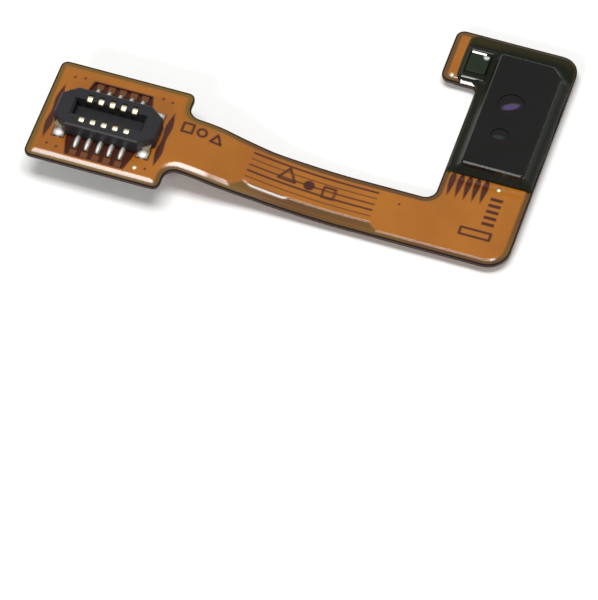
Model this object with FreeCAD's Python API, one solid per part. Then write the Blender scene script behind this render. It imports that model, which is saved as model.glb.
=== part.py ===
import FreeCAD, Part
import math
import os

V = FreeCAD.Vector

# All sizes are in millimetres. X runs along the ribbon, Y across it and Z up from the sensor plate's underside.
# The origin is the middle of the film's outline, at the underside of that plate.

# Film outline
film_length = 16.65
stem_depth = 9.17
stem_width = 3.09
pad_length = 4.8
pad_width = 4.1
ribbon_width = 2.05
neck_width = 2.25
neck_length = 1.35
taper_length = 1.7
tab_reach = 1.33
tab_width = 2.19
pad_corner = 0.25
neck_fillet = 0.4
taper_blend = 2.0
inner_corner = 0.4
outer_corner = 0.8
far_corner = 0.65
tab_corner = 0.3
tab_fillet = 0.25

# Laminate, from the steel plates up
plate_thickness = 0.25
adhesive_thickness = 0.05
coverlay_thickness = 0.04
copper_thickness = 0.035
base_thickness = 0.05
copper_margin = 0.2

# Set bend: the pad lies higher than the sensor end
pad_rise = 0.9
flat_ribbon = 2.5
tight_radius = 5.0

# Steel plates
plate_margin = 0.2
plate_corner = 0.15
sensor_plate_corner = 0.2
tab_plate_margin = 0.35
bare_stem = 3.28
adhesive_inset = 0.05

# Gaps etched in the front copper
slot_count = 5
slot_pitch = 0.2475
slot_width = 0.06
slot_offset = 0.175
slot_from_pad = 2.5
slot_from_stem = 1.8
wide_margin = 0.47
wide_margin_slant = 0.35
finger_count = 5
finger_pitch = 0.29
finger_width = 0.15
finger_tip = 0.08
finger_from_edge = 0.365
finger_reach = 1.0
finger_hidden = 0.15

# Trace corridor in the back copper: legs in the ribbon and the stem, measured from the ribbon's far edge
# and the stem's left edge
corridor_from_far = 0.57
corridor_from_left = 0.75
corridor_inner_radius = 0.8
trace_gap = 0.07
wide_trace_width = 0.18
fine_trace_count = 4
fine_trace_width = 0.09
fine_trace_pitch_ribbon = 0.19
fine_trace_pitch_stem = 0.145
back_finger_count = 3
back_finger_reach = 0.95
back_finger_from_corridor = 0.261
back_finger_from_right = 0.568
plate_edge_gap = 0.2
corridor_under_plate = 0.6

# Vias and test points
via_radius = 0.06
via_inner_x = 1.4
via_outer_x = 1.75
via_inner_y = 1.5
via_outer_y = 1.45
test_radius = 0.09
test_height = 0.02
test_from_sensor_middle = 0.373
stud_sides = 6

# Connector: two rows of formed contacts in a moulded housing
connector_from_middle = -0.1
contact_rows = 5
contact_pitch = 0.4
contact_width = 0.19
contact_thickness = 0.08
housing_length = 3.6
housing_width = 1.6
housing_height = 0.6
housing_edge = 0.05
corner_cut_x = 0.5
corner_cut_y = 0.38
head_offset = 0.46
head_width = 0.2
wall_proud = 0.02
recess_floor = 0.15
recess_end_wall = 0.58
recess_lead_in = 0.08
tail_reach = 1.3
contact_foot_gap = 0.05
contact_pad_width = 0.24
contact_pad_reach = 1.55
pad_window_gap = 0.06
pad_window_slant = 0.3
coverlay_lap = 0.05
side_window_width = 0.25
side_window_length = 2.36
side_window_tip = 0.5
side_window_wall = 0.1
solder_height = 0.07
solder_toe = 0.16

# Hold-down clips in the housing's ends
clip_width = 0.4
clip_thickness = 0.08
clip_from_end = 0.3
clip_rise = 0.2
clip_foot = 0.98
clip_leg = 0.66
opening_clearance = 0.04

# Optical sensor package
sensor_width = 2.24
sensor_length = 4.79
sensor_from_right = 0.345
sensor_from_plate = 0.09
sensor_gap = 0.03
substrate_height = 0.18
cap_height = 0.45
cap_wall = 0.15
cap_roof = 0.15
cap_corner = 0.12
cap_edge = 0.05
cap_cut = 0.35
divider_width = 0.2
aperture_x = -0.16
emitter_y = -1.0
detector_y = 0.35
emitter_radius = 0.27
detector_radius = 0.42
aperture_flare = 0.06
emitter_die_size = 0.3
detector_die_width = 0.9
detector_die_length = 1.0
die_height = 0.15
window_recess = 0.03
sensor_pad_rows = 4
sensor_pad_width = 0.45
sensor_pad_length = 0.5
sensor_pad_inset = 0.15

# Indicator light on the tab
light_width = 0.8
light_length = 1.25
light_from_tab = 0.725
light_from_far = 0.8
light_base = 0.12
light_height = 0.3
terminal_length = 0.2
terminal_thickness = 0.03
light_draft = 0.06
light_die = 0.22
light_die_height = 0.1
light_die_x = 0.15
light_die_y = 0.2
light_solder_reach = 0.12

# Dark resin over the sensor end
resin_thickness = 0.06
resin_margin = 0.05
resin_lap = 0.1
resin_from_tab = 0.5
resin_skirt = 0.35
resin_climb = 0.45
resin_light_climb = 0.15
resin_corner = 0.2

# Edges of the film
film_depth = stem_depth + (pad_width - ribbon_width) / 2
x_left = -film_length / 2
x_right = film_length / 2
x_pad = x_left + pad_length
x_neck = x_pad + neck_length
x_taper = x_neck + taper_length
x_stem = x_right - stem_width
x_tab = x_stem - tab_reach
y_near = -film_depth / 2
y_far = film_depth / 2
y_ribbon = y_near + pad_width / 2
y_tab = y_far - tab_width
pad_x = (x_left + x_pad) / 2
connector_y = y_ribbon + connector_from_middle
stem_near = y_ribbon - ribbon_width / 2

# Levels of the laminate at the sensor end; at the pad everything is pad_rise higher
film_bottom = plate_thickness + adhesive_thickness
back_copper_level = film_bottom + coverlay_thickness
base_level = back_copper_level + copper_thickness
front_copper_level = base_level + base_thickness
front_cover_level = front_copper_level + copper_thickness
film_top = front_cover_level + coverlay_thickness
above_all = film_top + pad_rise + housing_height

# The set bend: two tangent arcs between the flat ribbon and the pad
bend_start = x_stem - flat_ribbon
bend_run = bend_start - x_pad
bend_angle = 2 * math.atan2(pad_rise, bend_run)
long_radius = bend_run / math.sin(bend_angle) - tight_radius

# Places of the pieces
sensor_plate_near = stem_near + bare_stem
sensor_x = x_right - sensor_from_right - sensor_width / 2
sensor_y = sensor_plate_near + sensor_from_plate + sensor_length / 2
sensor_z = film_top + sensor_gap
light_x = x_tab + light_from_tab + light_width / 2
light_y = y_far - light_from_far - light_length / 2
resin_near = sensor_plate_near - resin_lap + sensor_from_plate
slot_left = x_pad + slot_from_pad
slot_right = x_stem - slot_from_stem
fingers_near = sensor_plate_near - finger_reach
tail_heel = head_offset + head_width / 2 - contact_thickness / 2

TINY = 1e-7


def in_plan(point):
    return point


def in_side_view(point):
    """Puts a drawn point in the YZ plane."""
    return V(0, point.x, point.y)


def corner_points(before, here, after):
    """Start, middle and end of the arc that rounds the corner here."""
    point = V(here[0], here[1], 0)
    back = (V(before[0], before[1], 0) - point).normalize()
    ahead = (V(after[0], after[1], 0) - point).normalize()
    half = back.getAngle(ahead) / 2
    radius = here[2]
    reach = radius / math.tan(half)
    inward = (back + ahead).normalize() if radius > 0 else V(0, 0, 0)
    middle = point + inward * (radius / math.sin(half) - radius)
    return point + back * reach, middle, point + ahead * reach


def rounded_wire(corners, place=in_plan):
    """Closed wire through corners (u, v, radius)."""
    count = len(corners)
    cuts = [corner_points(corners[i - 1], corners[i], corners[(i + 1) % count]) for i in range(count)]
    edges = []
    for i, (start, middle, end) in enumerate(cuts):
        if (end - start).Length > TINY:
            edges.append(Part.Arc(place(start), place(middle), place(end)).toShape())
        following = cuts[(i + 1) % count][0]
        if (following - end).Length > TINY:
            edges.append(Part.LineSegment(place(end), place(following)).toShape())
    return Part.Wire(edges)


def strip_corners(path, thickness):
    """Corners of a strip of sheet metal that follows a path of (u, v, bend radius) points."""
    points = [V(u, v, 0) for u, v, radius in path]
    headings = [(b - a).normalize() for a, b in zip(points, points[1:])]
    left = []
    right = []
    for i, (u, v, radius) in enumerate(path):
        before = headings[max(i - 1, 0)]
        after = headings[min(i, len(headings) - 1)]
        offset = V(-before.y - after.y, before.x + after.x, 0) * (thickness / 2 / (1 + before.dot(after)))
        swing = math.copysign(thickness / 2, before.cross(after).z) if radius > 0 else 0
        left.append((u + offset.x, v + offset.y, radius - swing))
        right.append((u - offset.x, v - offset.y, radius + swing))
    return left + right[::-1]


def prism(corners, low, high):
    face = Part.Face(rounded_wire(corners))
    face.translate(V(0, 0, low))
    return face.extrude(V(0, 0, high - low))


def block(x_low, x_high, y_low, y_high, z_low, z_high):
    return Part.makeBox(x_high - x_low, y_high - y_low, z_high - z_low, V(x_low, y_low, z_low))


def rectangle(x_low, x_high, y_low, y_high, radius):
    return [(x_low, y_low, radius), (x_high, y_low, radius), (x_high, y_high, radius), (x_low, y_high, radius)]


def column(corners):
    """A plan shape carried through the whole height of the part."""
    return prism(corners, -1, above_all + 1)


def union(solids):
    return solids[0].multiFuse(solids[1:]).removeSplitter() if len(solids) > 1 else solids[0]


def film_outline(margin):
    """Corners of the film's outline, moved in by a margin. Small corners are square inside the edge."""
    near = stem_near + margin
    far = y_ribbon + ribbon_width / 2 - margin
    neck_near = y_ribbon - neck_width / 2 + margin
    neck_far = y_ribbon + neck_width / 2 - margin
    pad_round = pad_corner if margin == 0 else 0
    tab_round = tab_corner if margin == 0 else 0
    blend = taper_blend if margin == 0 else 0
    return [
        (x_left + margin, y_near + margin, pad_round),
        (x_pad - margin, y_near + margin, pad_round),
        (x_pad - margin, neck_near, neck_fillet + margin),
        (x_neck, neck_near, blend),
        (x_taper, near, blend),
        (x_right - margin, near, outer_corner - margin),
        (x_right - margin, y_far - margin, far_corner - margin),
        (x_tab + margin, y_far - margin, tab_round),
        (x_tab + margin, y_tab + margin, tab_round),
        (x_stem + margin, y_tab + margin, tab_fillet + margin),
        (x_stem + margin, far, inner_corner + margin),
        (x_taper, far, blend),
        (x_neck, neck_far, blend),
        (x_pad - margin, neck_far, neck_fillet + margin),
        (x_pad - margin, y_near + pad_width - margin, pad_round),
        (x_left + margin, y_near + pad_width - margin, pad_round),
    ]


def bend_edges(level):
    """Side view of the bent film at one level, from the stem to the pad, and its two end points."""
    offset = level - film_bottom
    lower_centre = V(bend_start, 0, film_bottom + long_radius)
    upper_centre = V(x_pad, 0, film_bottom + pad_rise - tight_radius)

    def on_lower(angle):
        return lower_centre - V(math.sin(angle), 0, math.cos(angle)) * (long_radius - offset)

    def on_upper(angle):
        return upper_centre + V(math.sin(angle), 0, math.cos(angle)) * (tight_radius + offset)

    start = V(x_right + 1, 0, level)
    finish = V(x_left - 1, 0, level + pad_rise)
    edges = [
        Part.LineSegment(start, on_lower(0)).toShape(),
        Part.Arc(on_lower(0), on_lower(bend_angle / 2), on_lower(bend_angle)).toShape(),
        Part.Arc(on_lower(bend_angle), on_upper(bend_angle / 2), on_upper(0)).toShape(),
        Part.LineSegment(on_upper(0), finish).toShape(),
    ]
    return edges, start, finish


def bent_sheet(plan, low, high):
    """The part of a plan column that lies between two levels of the bent laminate."""
    under, under_start, under_finish = bend_edges(low)
    over, over_start, over_finish = bend_edges(high)
    sides = [
        Part.LineSegment(under_finish, over_finish).toShape(),
        Part.LineSegment(over_start, under_start).toShape(),
    ]
    profile = Part.Face(Part.Wire(Part.sortEdges(under + over + sides)[0]))
    profile.translate(V(0, y_near - 1, 0))
    return plan.common(profile.extrude(V(0, film_depth + 2, 0)))


def copper_area(margin):
    """Plan of the copper: the film less a margin, and less the wider margin beside the ribbon's traces."""
    extra = margin - copper_margin
    edge = stem_near + wide_margin + extra
    start = slot_left - extra
    end = slot_right + extra
    notch = [
        (start - wide_margin_slant, stem_near - 1, 0),
        (end + wide_margin_slant, stem_near - 1, 0),
        (end + wide_margin_slant, stem_near + margin, 0),
        (end, edge, 0),
        (start, edge, 0),
        (start - wide_margin_slant, stem_near + margin, 0),
    ]
    return column(film_outline(margin)).cut(column(notch))


def via_places():
    around_pad = []
    for side_x in (-1, 1):
        for side_y in (-1, 1):
            around_pad.append((pad_x + side_x * via_inner_x, y_ribbon + side_y * via_inner_y))
            around_pad.append((pad_x + side_x * via_outer_x, y_ribbon + side_y * via_outer_y))
    return around_pad


def test_places():
    return [
        (pad_x + via_inner_x, y_ribbon - via_inner_y, film_top + pad_rise),
        (sensor_x + test_from_sensor_middle, sensor_plate_near - plate_edge_gap, film_top),
        (x_tab + resin_from_tab / 2 + test_radius, light_y - light_length / 2, film_top),
    ]


def contact_places():
    """Middle of each contact: X and the side that its tail points to."""
    first = pad_x - contact_pitch * (contact_rows - 1) / 2
    return [(first + contact_pitch * i, side) for side in (-1, 1) for i in range(contact_rows)]


def window_corners(side, lap):
    """Window in the copper round one row of contact pads, lapped by the coverlay."""
    half = contact_pitch * contact_rows / 2 + pad_window_gap - lap
    inner = tail_heel - opening_clearance - coverlay_lap + lap
    outer = contact_pad_reach + pad_window_gap - lap
    corners = [
        (pad_x - half - pad_window_slant, connector_y + side * inner, 0),
        (pad_x + half + pad_window_slant, connector_y + side * inner, 0),
        (pad_x + half, connector_y + side * outer, 0),
        (pad_x - half, connector_y + side * outer, 0),
    ]
    return corners


def side_window(side):
    """Window in the copper beside the connector's end, with a point at both ends."""
    middle = pad_x + side * (pad_length / 2 - copper_margin - side_window_wall - side_window_width / 2)
    half_width = side_window_width / 2
    half_length = side_window_length / 2
    shoulder = half_length - side_window_tip
    return [
        (middle, connector_y - half_length, 0),
        (middle + half_width, connector_y - shoulder, 0),
        (middle + half_width, connector_y + shoulder, 0),
        (middle, connector_y + half_length, 0),
        (middle - half_width, connector_y + shoulder, 0),
        (middle - half_width, connector_y - shoulder, 0),
    ]


def front_gaps():
    """Plans of everything etched out of the front copper."""
    gaps = [column(window_corners(side, 0)) for side in (-1, 1)]
    gaps += [column(side_window(side)) for side in (-1, 1)]
    for i in range(slot_count):
        middle = y_ribbon + slot_offset + slot_pitch * (i - (slot_count - 1) / 2)
        half = slot_width / 2
        gaps.append(column(rectangle(slot_left, slot_right, middle - half, middle + half, 0)))
    for i in range(finger_count):
        middle = x_stem + finger_from_edge + finger_pitch * i
        gaps.append(finger(middle, fingers_near, sensor_plate_near + finger_hidden))
    return gaps


def finger(middle, low, high):
    """A gap in the copper that narrows from the plate's edge to its tip."""
    wide = finger_width / 2
    tip = finger_tip / 2
    left = [(middle - wide, high, 0), (middle - tip, low, 0)]
    right = [(middle + tip, low, 0), (middle + wide, high, 0)]
    return column(left + right)


def turned_band(far, left, inner_radius, near, right, outer_radius):
    """Plan band that runs along the ribbon and turns up the stem, between its inner and outer side."""
    start = x_pad - corridor_under_plate - plate_margin
    end = sensor_plate_near + corridor_under_plate
    return column([
        (start, near, 0),
        (right, near, outer_radius),
        (right, end, 0),
        (left, end, 0),
        (left, far, inner_radius),
        (start, far, 0),
    ])


def back_traces():
    """The trace corridor and the traces in it, as plan columns."""
    far = y_ribbon + ribbon_width / 2 - corridor_from_far
    left = x_stem + corridor_from_left
    wide_far = far - trace_gap
    wide_left = left + trace_gap
    wide_radius = corridor_inner_radius + trace_gap
    wide = turned_band(
        wide_far, wide_left, wide_radius,
        wide_far - wide_trace_width, wide_left + wide_trace_width, wide_radius + wide_trace_width,
    )
    traces = [wide]
    near = wide_far - wide_trace_width
    right = wide_left + wide_trace_width
    radius = wide_radius + wide_trace_width
    for i in range(fine_trace_count):
        far_i = near - trace_gap - fine_trace_pitch_ribbon * i
        left_i = right + trace_gap + fine_trace_pitch_stem * i
        radius_i = radius + trace_gap + fine_trace_pitch_ribbon * i
        traces.append(turned_band(
            far_i, left_i, radius_i,
            far_i - fine_trace_width, left_i + fine_trace_width, radius_i + fine_trace_width,
        ))
    corridor = turned_band(
        far, left, corridor_inner_radius,
        far_i - fine_trace_width - trace_gap, left_i + fine_trace_width + trace_gap,
        radius_i + fine_trace_width + trace_gap,
    )
    return corridor, traces


def back_gaps():
    """Plans of the other gaps in the back copper: the strip at the sensor plate's edge and its fingers."""
    edge = sensor_plate_near
    strip = rectangle(x_stem + copper_margin, x_right, edge - plate_edge_gap, edge + plate_edge_gap, 0)
    places = [x_stem + corridor_from_left - back_finger_from_corridor]
    places += [x_right - back_finger_from_right - finger_pitch * i for i in range(back_finger_count)]
    low = edge - plate_edge_gap - back_finger_reach
    return [column(strip)] + [finger(middle, low, edge) for middle in places]


def stud(x, y, radius, low, high):
    """A small upright stud with a few flats, which stand for its round side."""
    turns = [2 * math.pi * (i + 0.5) / stud_sides for i in range(stud_sides)]
    return prism([(x + radius * math.cos(t), y + radius * math.sin(t), 0) for t in turns], low, high)


def contact_pads():
    low = front_copper_level + pad_rise
    high = front_cover_level + pad_rise
    half = contact_pad_width / 2
    pads = []
    for x, side in contact_places():
        ends = sorted([connector_y + side * tail_heel, connector_y + side * contact_pad_reach])
        pads.append(block(x - half, x + half, ends[0], ends[1], low, high))
    return Part.makeCompound(pads)


def laminate():
    """The film's layers and the copper between them."""
    via_low = base_level + pad_rise
    via_high = front_copper_level + pad_rise
    barrels = [stud(x, y, via_radius, via_low, via_high) for x, y in via_places()]
    outline = column(film_outline(0))
    front = copper_area(copper_margin).cut(front_gaps())
    front_copper = bent_sheet(front, front_copper_level, front_cover_level)
    corridor, traces = back_traces()
    back = column(film_outline(copper_margin)).cut([corridor] + back_gaps())
    back_pieces = [bent_sheet(plan, back_copper_level, base_level) for plan in [back] + traces]
    back_copper = Part.makeCompound([solid for piece in back_pieces for solid in piece.Solids])
    base = bent_sheet(outline, base_level, front_copper_level).cut(barrels)
    lip = copper_margin - coverlay_thickness
    openings = [column(window_corners(side, coverlay_lap)) for side in (-1, 1)]
    front_low = bent_sheet(outline, front_copper_level, front_copper_level + coverlay_thickness)
    front_high = bent_sheet(copper_area(lip), front_copper_level, film_top)
    front_cover = front_low.fuse(front_high).cut([front_copper] + openings)
    back_low = bent_sheet(outline, base_level - coverlay_thickness, base_level)
    back_high = bent_sheet(column(film_outline(lip)), film_bottom, base_level)
    back_cover = back_low.fuse(back_high).cut(back_copper)
    return {
        "base_film": base,
        "front_copper": front_copper,
        "back_copper": back_copper,
        "contact_pads": contact_pads(),
        "plated_vias": Part.makeCompound(barrels),
        "front_coverlay": front_cover,
        "back_coverlay": back_cover,
    }


def sensor_plate_outline(inset):
    margin = plate_margin + inset
    left = x_stem + margin
    right = x_right - margin
    tab = x_tab + tab_plate_margin + inset
    near = sensor_plate_near + inset
    return [
        (left, near, sensor_plate_corner),
        (right, near, sensor_plate_corner),
        (right, y_far - margin, far_corner - plate_margin),
        (tab, y_far - margin, sensor_plate_corner),
        (tab, y_tab + margin, sensor_plate_corner),
        (left, y_tab + margin, tab_fillet),
    ]


def square_corners(corners):
    return [(x, y, 0) for x, y, radius in corners]


def plates():
    """Steel stiffeners and the adhesive that bonds them to the film."""
    margin = plate_margin
    inner = plate_margin + adhesive_inset
    y_pad_far = y_near + pad_width
    plate = rectangle(x_left + margin, x_pad - margin, y_near + margin, y_pad_far - margin, plate_corner)
    glue = rectangle(x_left + inner, x_pad - inner, y_near + inner, y_pad_far - inner, 0)
    sensor_glue = square_corners(sensor_plate_outline(adhesive_inset))
    return {
        "connector_plate": prism(plate, pad_rise, pad_rise + plate_thickness),
        "connector_plate_adhesive": prism(glue, pad_rise + plate_thickness, pad_rise + film_bottom),
        "sensor_plate": prism(sensor_plate_outline(0), 0, plate_thickness),
        "sensor_plate_adhesive": prism(sensor_glue, plate_thickness, film_bottom),
    }


def contact(x, side):
    """One formed contact: inside the recess, folded over the wall, down its outside and out to the tail."""
    centre = contact_thickness / 2
    tail = centre - coverlay_thickness
    inner = head_offset - head_width / 2
    outer = head_offset + head_width / 2
    top = housing_height - centre
    path = [
        (inner, recess_floor + contact_foot_gap, 0),
        (inner, top, centre),
        (outer, top, centre),
        (outer, tail, 0),
        (tail_reach, tail, 0),
    ]
    face = Part.Face(rounded_wire(strip_corners(path, contact_thickness), in_side_view))
    solid = face.extrude(V(contact_width, 0, 0))
    solid.translate(V(-contact_width / 2, 0, 0))
    if side < 0:
        solid.rotate(V(0, 0, 0), V(0, 0, 1), 180)
    solid.translate(V(x, connector_y, film_top + pad_rise))
    return solid


def hold_down(side):
    """A clip across the housing's end, with a foot at each corner."""
    tail = clip_thickness / 2 - coverlay_thickness
    path = [
        (-clip_foot, tail, 0),
        (-clip_leg, tail, 0),
        (-clip_leg, clip_rise, 0),
        (clip_leg, clip_rise, 0),
        (clip_leg, tail, 0),
        (clip_foot, tail, 0),
    ]
    face = Part.Face(rounded_wire(strip_corners(path, clip_thickness), in_side_view))
    solid = face.extrude(V(clip_width, 0, 0))
    middle = pad_x + side * (housing_length / 2 - clip_from_end)
    solid.translate(V(middle - clip_width / 2, connector_y, film_top + pad_rise))
    return solid


def housing_plan(length, width):
    a = length / 2
    b = width / 2
    cut_x = corner_cut_x
    cut_y = corner_cut_y
    half = [(a, -b + cut_y, 0), (a, b - cut_y, 0), (a - cut_x, b, 0), (-a + cut_x, b, 0)]
    return half + [(-x, -y, 0) for x, y, radius in half]


def contact_groove(x, side):
    """The room that a contact takes in the housing: round the wall's core and out under its foot."""
    half = contact_width / 2
    core_inner = head_offset - head_width / 2 + contact_thickness / 2
    core_outer = tail_heel
    core_top = housing_height - contact_thickness
    low = recess_floor + contact_foot_gap
    outside = head_offset + head_width / 2 + contact_thickness / 2
    tail_top = contact_thickness - coverlay_thickness
    rooms = [
        (core_inner - contact_thickness, core_inner, low, housing_height),
        (core_inner, core_outer, core_top, housing_height),
        (core_outer, outside, 0, housing_height),
        (outside, housing_width, 0, tail_top),
    ]
    blocks = []
    for inner, outer, floor, top in rooms:
        ends = sorted([side * inner, side * outer])
        blocks.append(block(-half, half, ends[0], ends[1], floor, top))
    groove = union(blocks)
    groove.translate(V(x, connector_y, film_top + pad_rise))
    return groove


def housing(clips):
    """The moulding, with grooves for the contacts and the hold-down clips' own shape left free in it."""
    wall_inner = head_offset - head_width / 2 - contact_thickness / 2 + wall_proud
    inside = housing_length / 2 - recess_end_wall
    body = prism(housing_plan(housing_length, housing_width), 0, housing_height)
    rim = [edge for edge in body.Edges if edge.BoundBox.ZMin > housing_height - TINY]
    body = body.makeChamfer(housing_edge, rim)
    recess = block(-inside, inside, -wall_inner, wall_inner, recess_floor, housing_height + 1)
    low = rounded_wire(rectangle(-inside, inside, -wall_inner, wall_inner, 0))
    low.translate(V(0, 0, housing_height - recess_lead_in))
    reach = inside + recess_lead_in
    high = rounded_wire(rectangle(-reach, reach, -wall_inner, wall_inner, 0))
    high.translate(V(0, 0, housing_height))
    lead_in = Part.makeLoft([low, high], True, True)
    body = body.cut([recess, lead_in])
    body.translate(V(pad_x, connector_y, film_top + pad_rise))
    grooves = [contact_groove(x, side) for x, side in contact_places()]
    return body.cut(grooves + clips)


def contact_solder(contacts):
    """A fillet of solder on each pad, round the end of the tail."""
    joints = []
    half = contact_pad_width / 2
    low = -coverlay_thickness
    for (x, side), metal in zip(contact_places(), contacts):
        profile = [
            (housing_width / 2 + contact_foot_gap, low, 0),
            (contact_pad_reach, low, 0),
            (contact_pad_reach - solder_toe, low + solder_height, 0),
            (housing_width / 2 + contact_foot_gap, low + solder_height, 0),
        ]
        wedge = Part.Face(rounded_wire(profile, in_side_view)).extrude(V(contact_pad_width, 0, 0))
        wedge.translate(V(-half, 0, 0))
        if side < 0:
            wedge.rotate(V(0, 0, 0), V(0, 0, 1), 180)
        wedge.translate(V(x, connector_y, film_top + pad_rise))
        joints.append(wedge.cut(metal))
    return joints


def clip_openings():
    """Blocks that free the coverlay over each hold-down foot."""
    spare = opening_clearance
    level = film_top + pad_rise
    half = clip_width / 2 + spare
    blocks = []
    for side_x in (-1, 1):
        middle = pad_x + side_x * (housing_length / 2 - clip_from_end)
        for side_y in (-1, 1):
            inner = clip_leg - clip_thickness / 2 - spare
            low, high = sorted([connector_y + side_y * inner, connector_y + side_y * (clip_foot + spare)])
            blocks.append(block(middle - half, middle + half, low, high, level - coverlay_thickness, level))
    return blocks


def clip_solder(clips):
    """Solder that fills the opening round each foot and laps its edge."""
    joints = []
    level = film_top + pad_rise
    for opening in clip_openings():
        box = opening.BoundBox
        low_y = box.YMin
        high_y = box.YMax
        if abs(low_y - connector_y) < abs(high_y - connector_y):
            low_y = connector_y + housing_width / 2
        else:
            high_y = connector_y - housing_width / 2
        joints.append(block(box.XMin, box.XMax, low_y, high_y, box.ZMin, level).cut(clips))
    return joints


def connector():
    places = contact_places()
    contacts = [contact(x, side) for x, side in places]
    clips = [hold_down(side) for side in (-1, 1)]
    pieces = {"connector_housing": housing(clips)}
    for number, solid in enumerate(contacts, 1):
        pieces["contact_%02d" % number] = solid
    pieces["hold_down_left"] = clips[0]
    pieces["hold_down_right"] = clips[1]
    pieces["contact_solder"] = Part.makeCompound(contact_solder(contacts))
    pieces["hold_down_solder"] = Part.makeCompound(clip_solder(clips))
    return pieces


def sensor_outline():
    """Plan of the sensor package: rounded corners, and the far right one cut off."""
    a = sensor_width / 2
    b = sensor_length / 2
    corners = [(-a, -b, cap_corner), (a, -b, cap_corner), (a, b - cap_cut, 0), (a - cap_cut, b, 0)]
    return corners + [(-a, b, cap_corner)]


def sensor():
    """Substrate, black cap with two chambers and apertures, and what the chambers hold."""
    a = sensor_width / 2 - cap_wall
    b = sensor_length / 2 - cap_wall
    divider = (emitter_y + detector_y) / 2
    half_divider = divider_width / 2
    top = substrate_height + cap_height
    roof = top - cap_roof
    substrate = prism(sensor_outline(), 0, substrate_height)
    cap = prism(sensor_outline(), substrate_height, top)
    rim = [edge for edge in cap.Edges if edge.BoundBox.ZMin > top - TINY]
    cap = cap.makeChamfer(cap_edge, rim)
    corner = cap_cut
    far_chamber = [
        (-a, divider + half_divider, 0),
        (a, divider + half_divider, 0),
        (a, b - corner, 0),
        (a - corner, b, 0),
        (-a, b, 0),
    ]
    chambers = {
        "emitter": rectangle(-a, a, -b, divider - half_divider, 0),
        "detector": far_chamber,
    }
    radii = {"emitter": emitter_radius, "detector": detector_radius}
    rows = {"emitter": emitter_y, "detector": detector_y}
    dies = {
        "emitter": (emitter_die_size, emitter_die_size),
        "detector": (detector_die_width, detector_die_length),
    }
    pieces = {}
    for name in ("emitter", "detector"):
        chamber = prism(chambers[name], substrate_height, roof)
        middle = V(aperture_x, rows[name], roof)
        hole = Part.makeCone(radii[name], radii[name] + aperture_flare, cap_roof, middle)
        plug_height = cap_roof - window_recess
        flare = aperture_flare * plug_height / cap_roof
        plug = Part.makeCone(radii[name], radii[name] + flare, plug_height, middle)
        width, length = dies[name]
        die = Part.makeBox(width, length, die_height)
        die.translate(V(aperture_x - width / 2, rows[name] - length / 2, substrate_height))
        cap = cap.cut([chamber, hole])
        pieces[name + "_die"] = die
        pieces[name + "_window"] = chamber.fuse(plug).cut(die)
    pieces["sensor_substrate"] = substrate
    pieces["sensor_cap"] = cap
    for solid in pieces.values():
        solid.translate(V(sensor_x, sensor_y, sensor_z))
    pieces["sensor_solder"] = Part.makeCompound(sensor_pads())
    return pieces


def sensor_pads():
    """Two columns of solder pads between the copper and the sensor's underside."""
    columns = sensor_width / 2 - sensor_pad_inset - sensor_pad_width
    run = sensor_length - 2 * sensor_pad_inset - sensor_pad_length
    pads = []
    for side in (-1, 1):
        ends = sorted([sensor_x + side * columns, sensor_x + side * (columns + sensor_pad_width)])
        for i in range(sensor_pad_rows):
            middle = sensor_y - run / 2 + run * i / (sensor_pad_rows - 1)
            half = sensor_pad_length / 2
            pads.append(block(ends[0], ends[1], middle - half, middle + half, front_cover_level, sensor_z))
    return pads


def indicator():
    """The light on the tab: base with wrapped terminals, die and moulded lens, and its solder."""
    a = light_width / 2
    b = light_length / 2
    lift = terminal_thickness
    base = block(-a, a, -b + lift, b - lift, lift, lift + light_base)
    lens_end = b - terminal_length
    foot = rounded_wire(rectangle(-a, a, -lens_end, lens_end, 0))
    foot.translate(V(0, 0, lift + light_base))
    crown_a = a - light_draft
    crown_end = lens_end - light_draft
    crown = rounded_wire(rectangle(-crown_a, crown_a, -crown_end, crown_end, 0))
    crown.translate(V(0, 0, light_height))
    die = Part.makeBox(light_die, light_die, light_die_height)
    die.translate(V(light_die_x - light_die / 2, light_die_y - light_die / 2, lift + light_base))
    lens = Part.makeLoft([foot, crown], True, True).cut(die)
    terminals = []
    solder = []
    for side in (-1, 1):
        ends = sorted([side * (b - terminal_length), side * b])
        wrap = block(-a, a, ends[0], ends[1], 0, 2 * lift + light_base)
        terminals.append(wrap.cut(base))
        profile = [
            (side * b, -coverlay_thickness, 0),
            (side * (b + light_solder_reach), -coverlay_thickness, 0),
            (side * b, light_base, 0),
        ]
        wedge = Part.Face(rounded_wire(profile, in_side_view)).extrude(V(light_width, 0, 0))
        wedge.translate(V(-a, 0, 0))
        under = block(-a, a, ends[0], ends[1], -coverlay_thickness, 0)
        solder.append(wedge.fuse(under).removeSplitter())
    pieces = {
        "indicator_base": base,
        "indicator_lens": lens,
        "indicator_die": die,
        "indicator_terminals": Part.makeCompound(terminals),
        "indicator_solder": Part.makeCompound(solder),
    }
    for solid in pieces.values():
        solid.translate(V(light_x, light_y, film_top))
    return pieces


def skirt(x, y, width, length, climb):
    """A sloped collar of resin round a package."""
    a = width / 2
    b = length / 2
    wide = rounded_wire(rectangle(-a - resin_skirt, a + resin_skirt, -b - resin_skirt, b + resin_skirt, 0))
    slim = rounded_wire(rectangle(-a, a, -b, b, 0))
    slim.translate(V(0, 0, climb))
    collar = Part.makeLoft([wide, slim], True, True)
    collar.translate(V(x, y, film_top + resin_thickness))
    return collar


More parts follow.
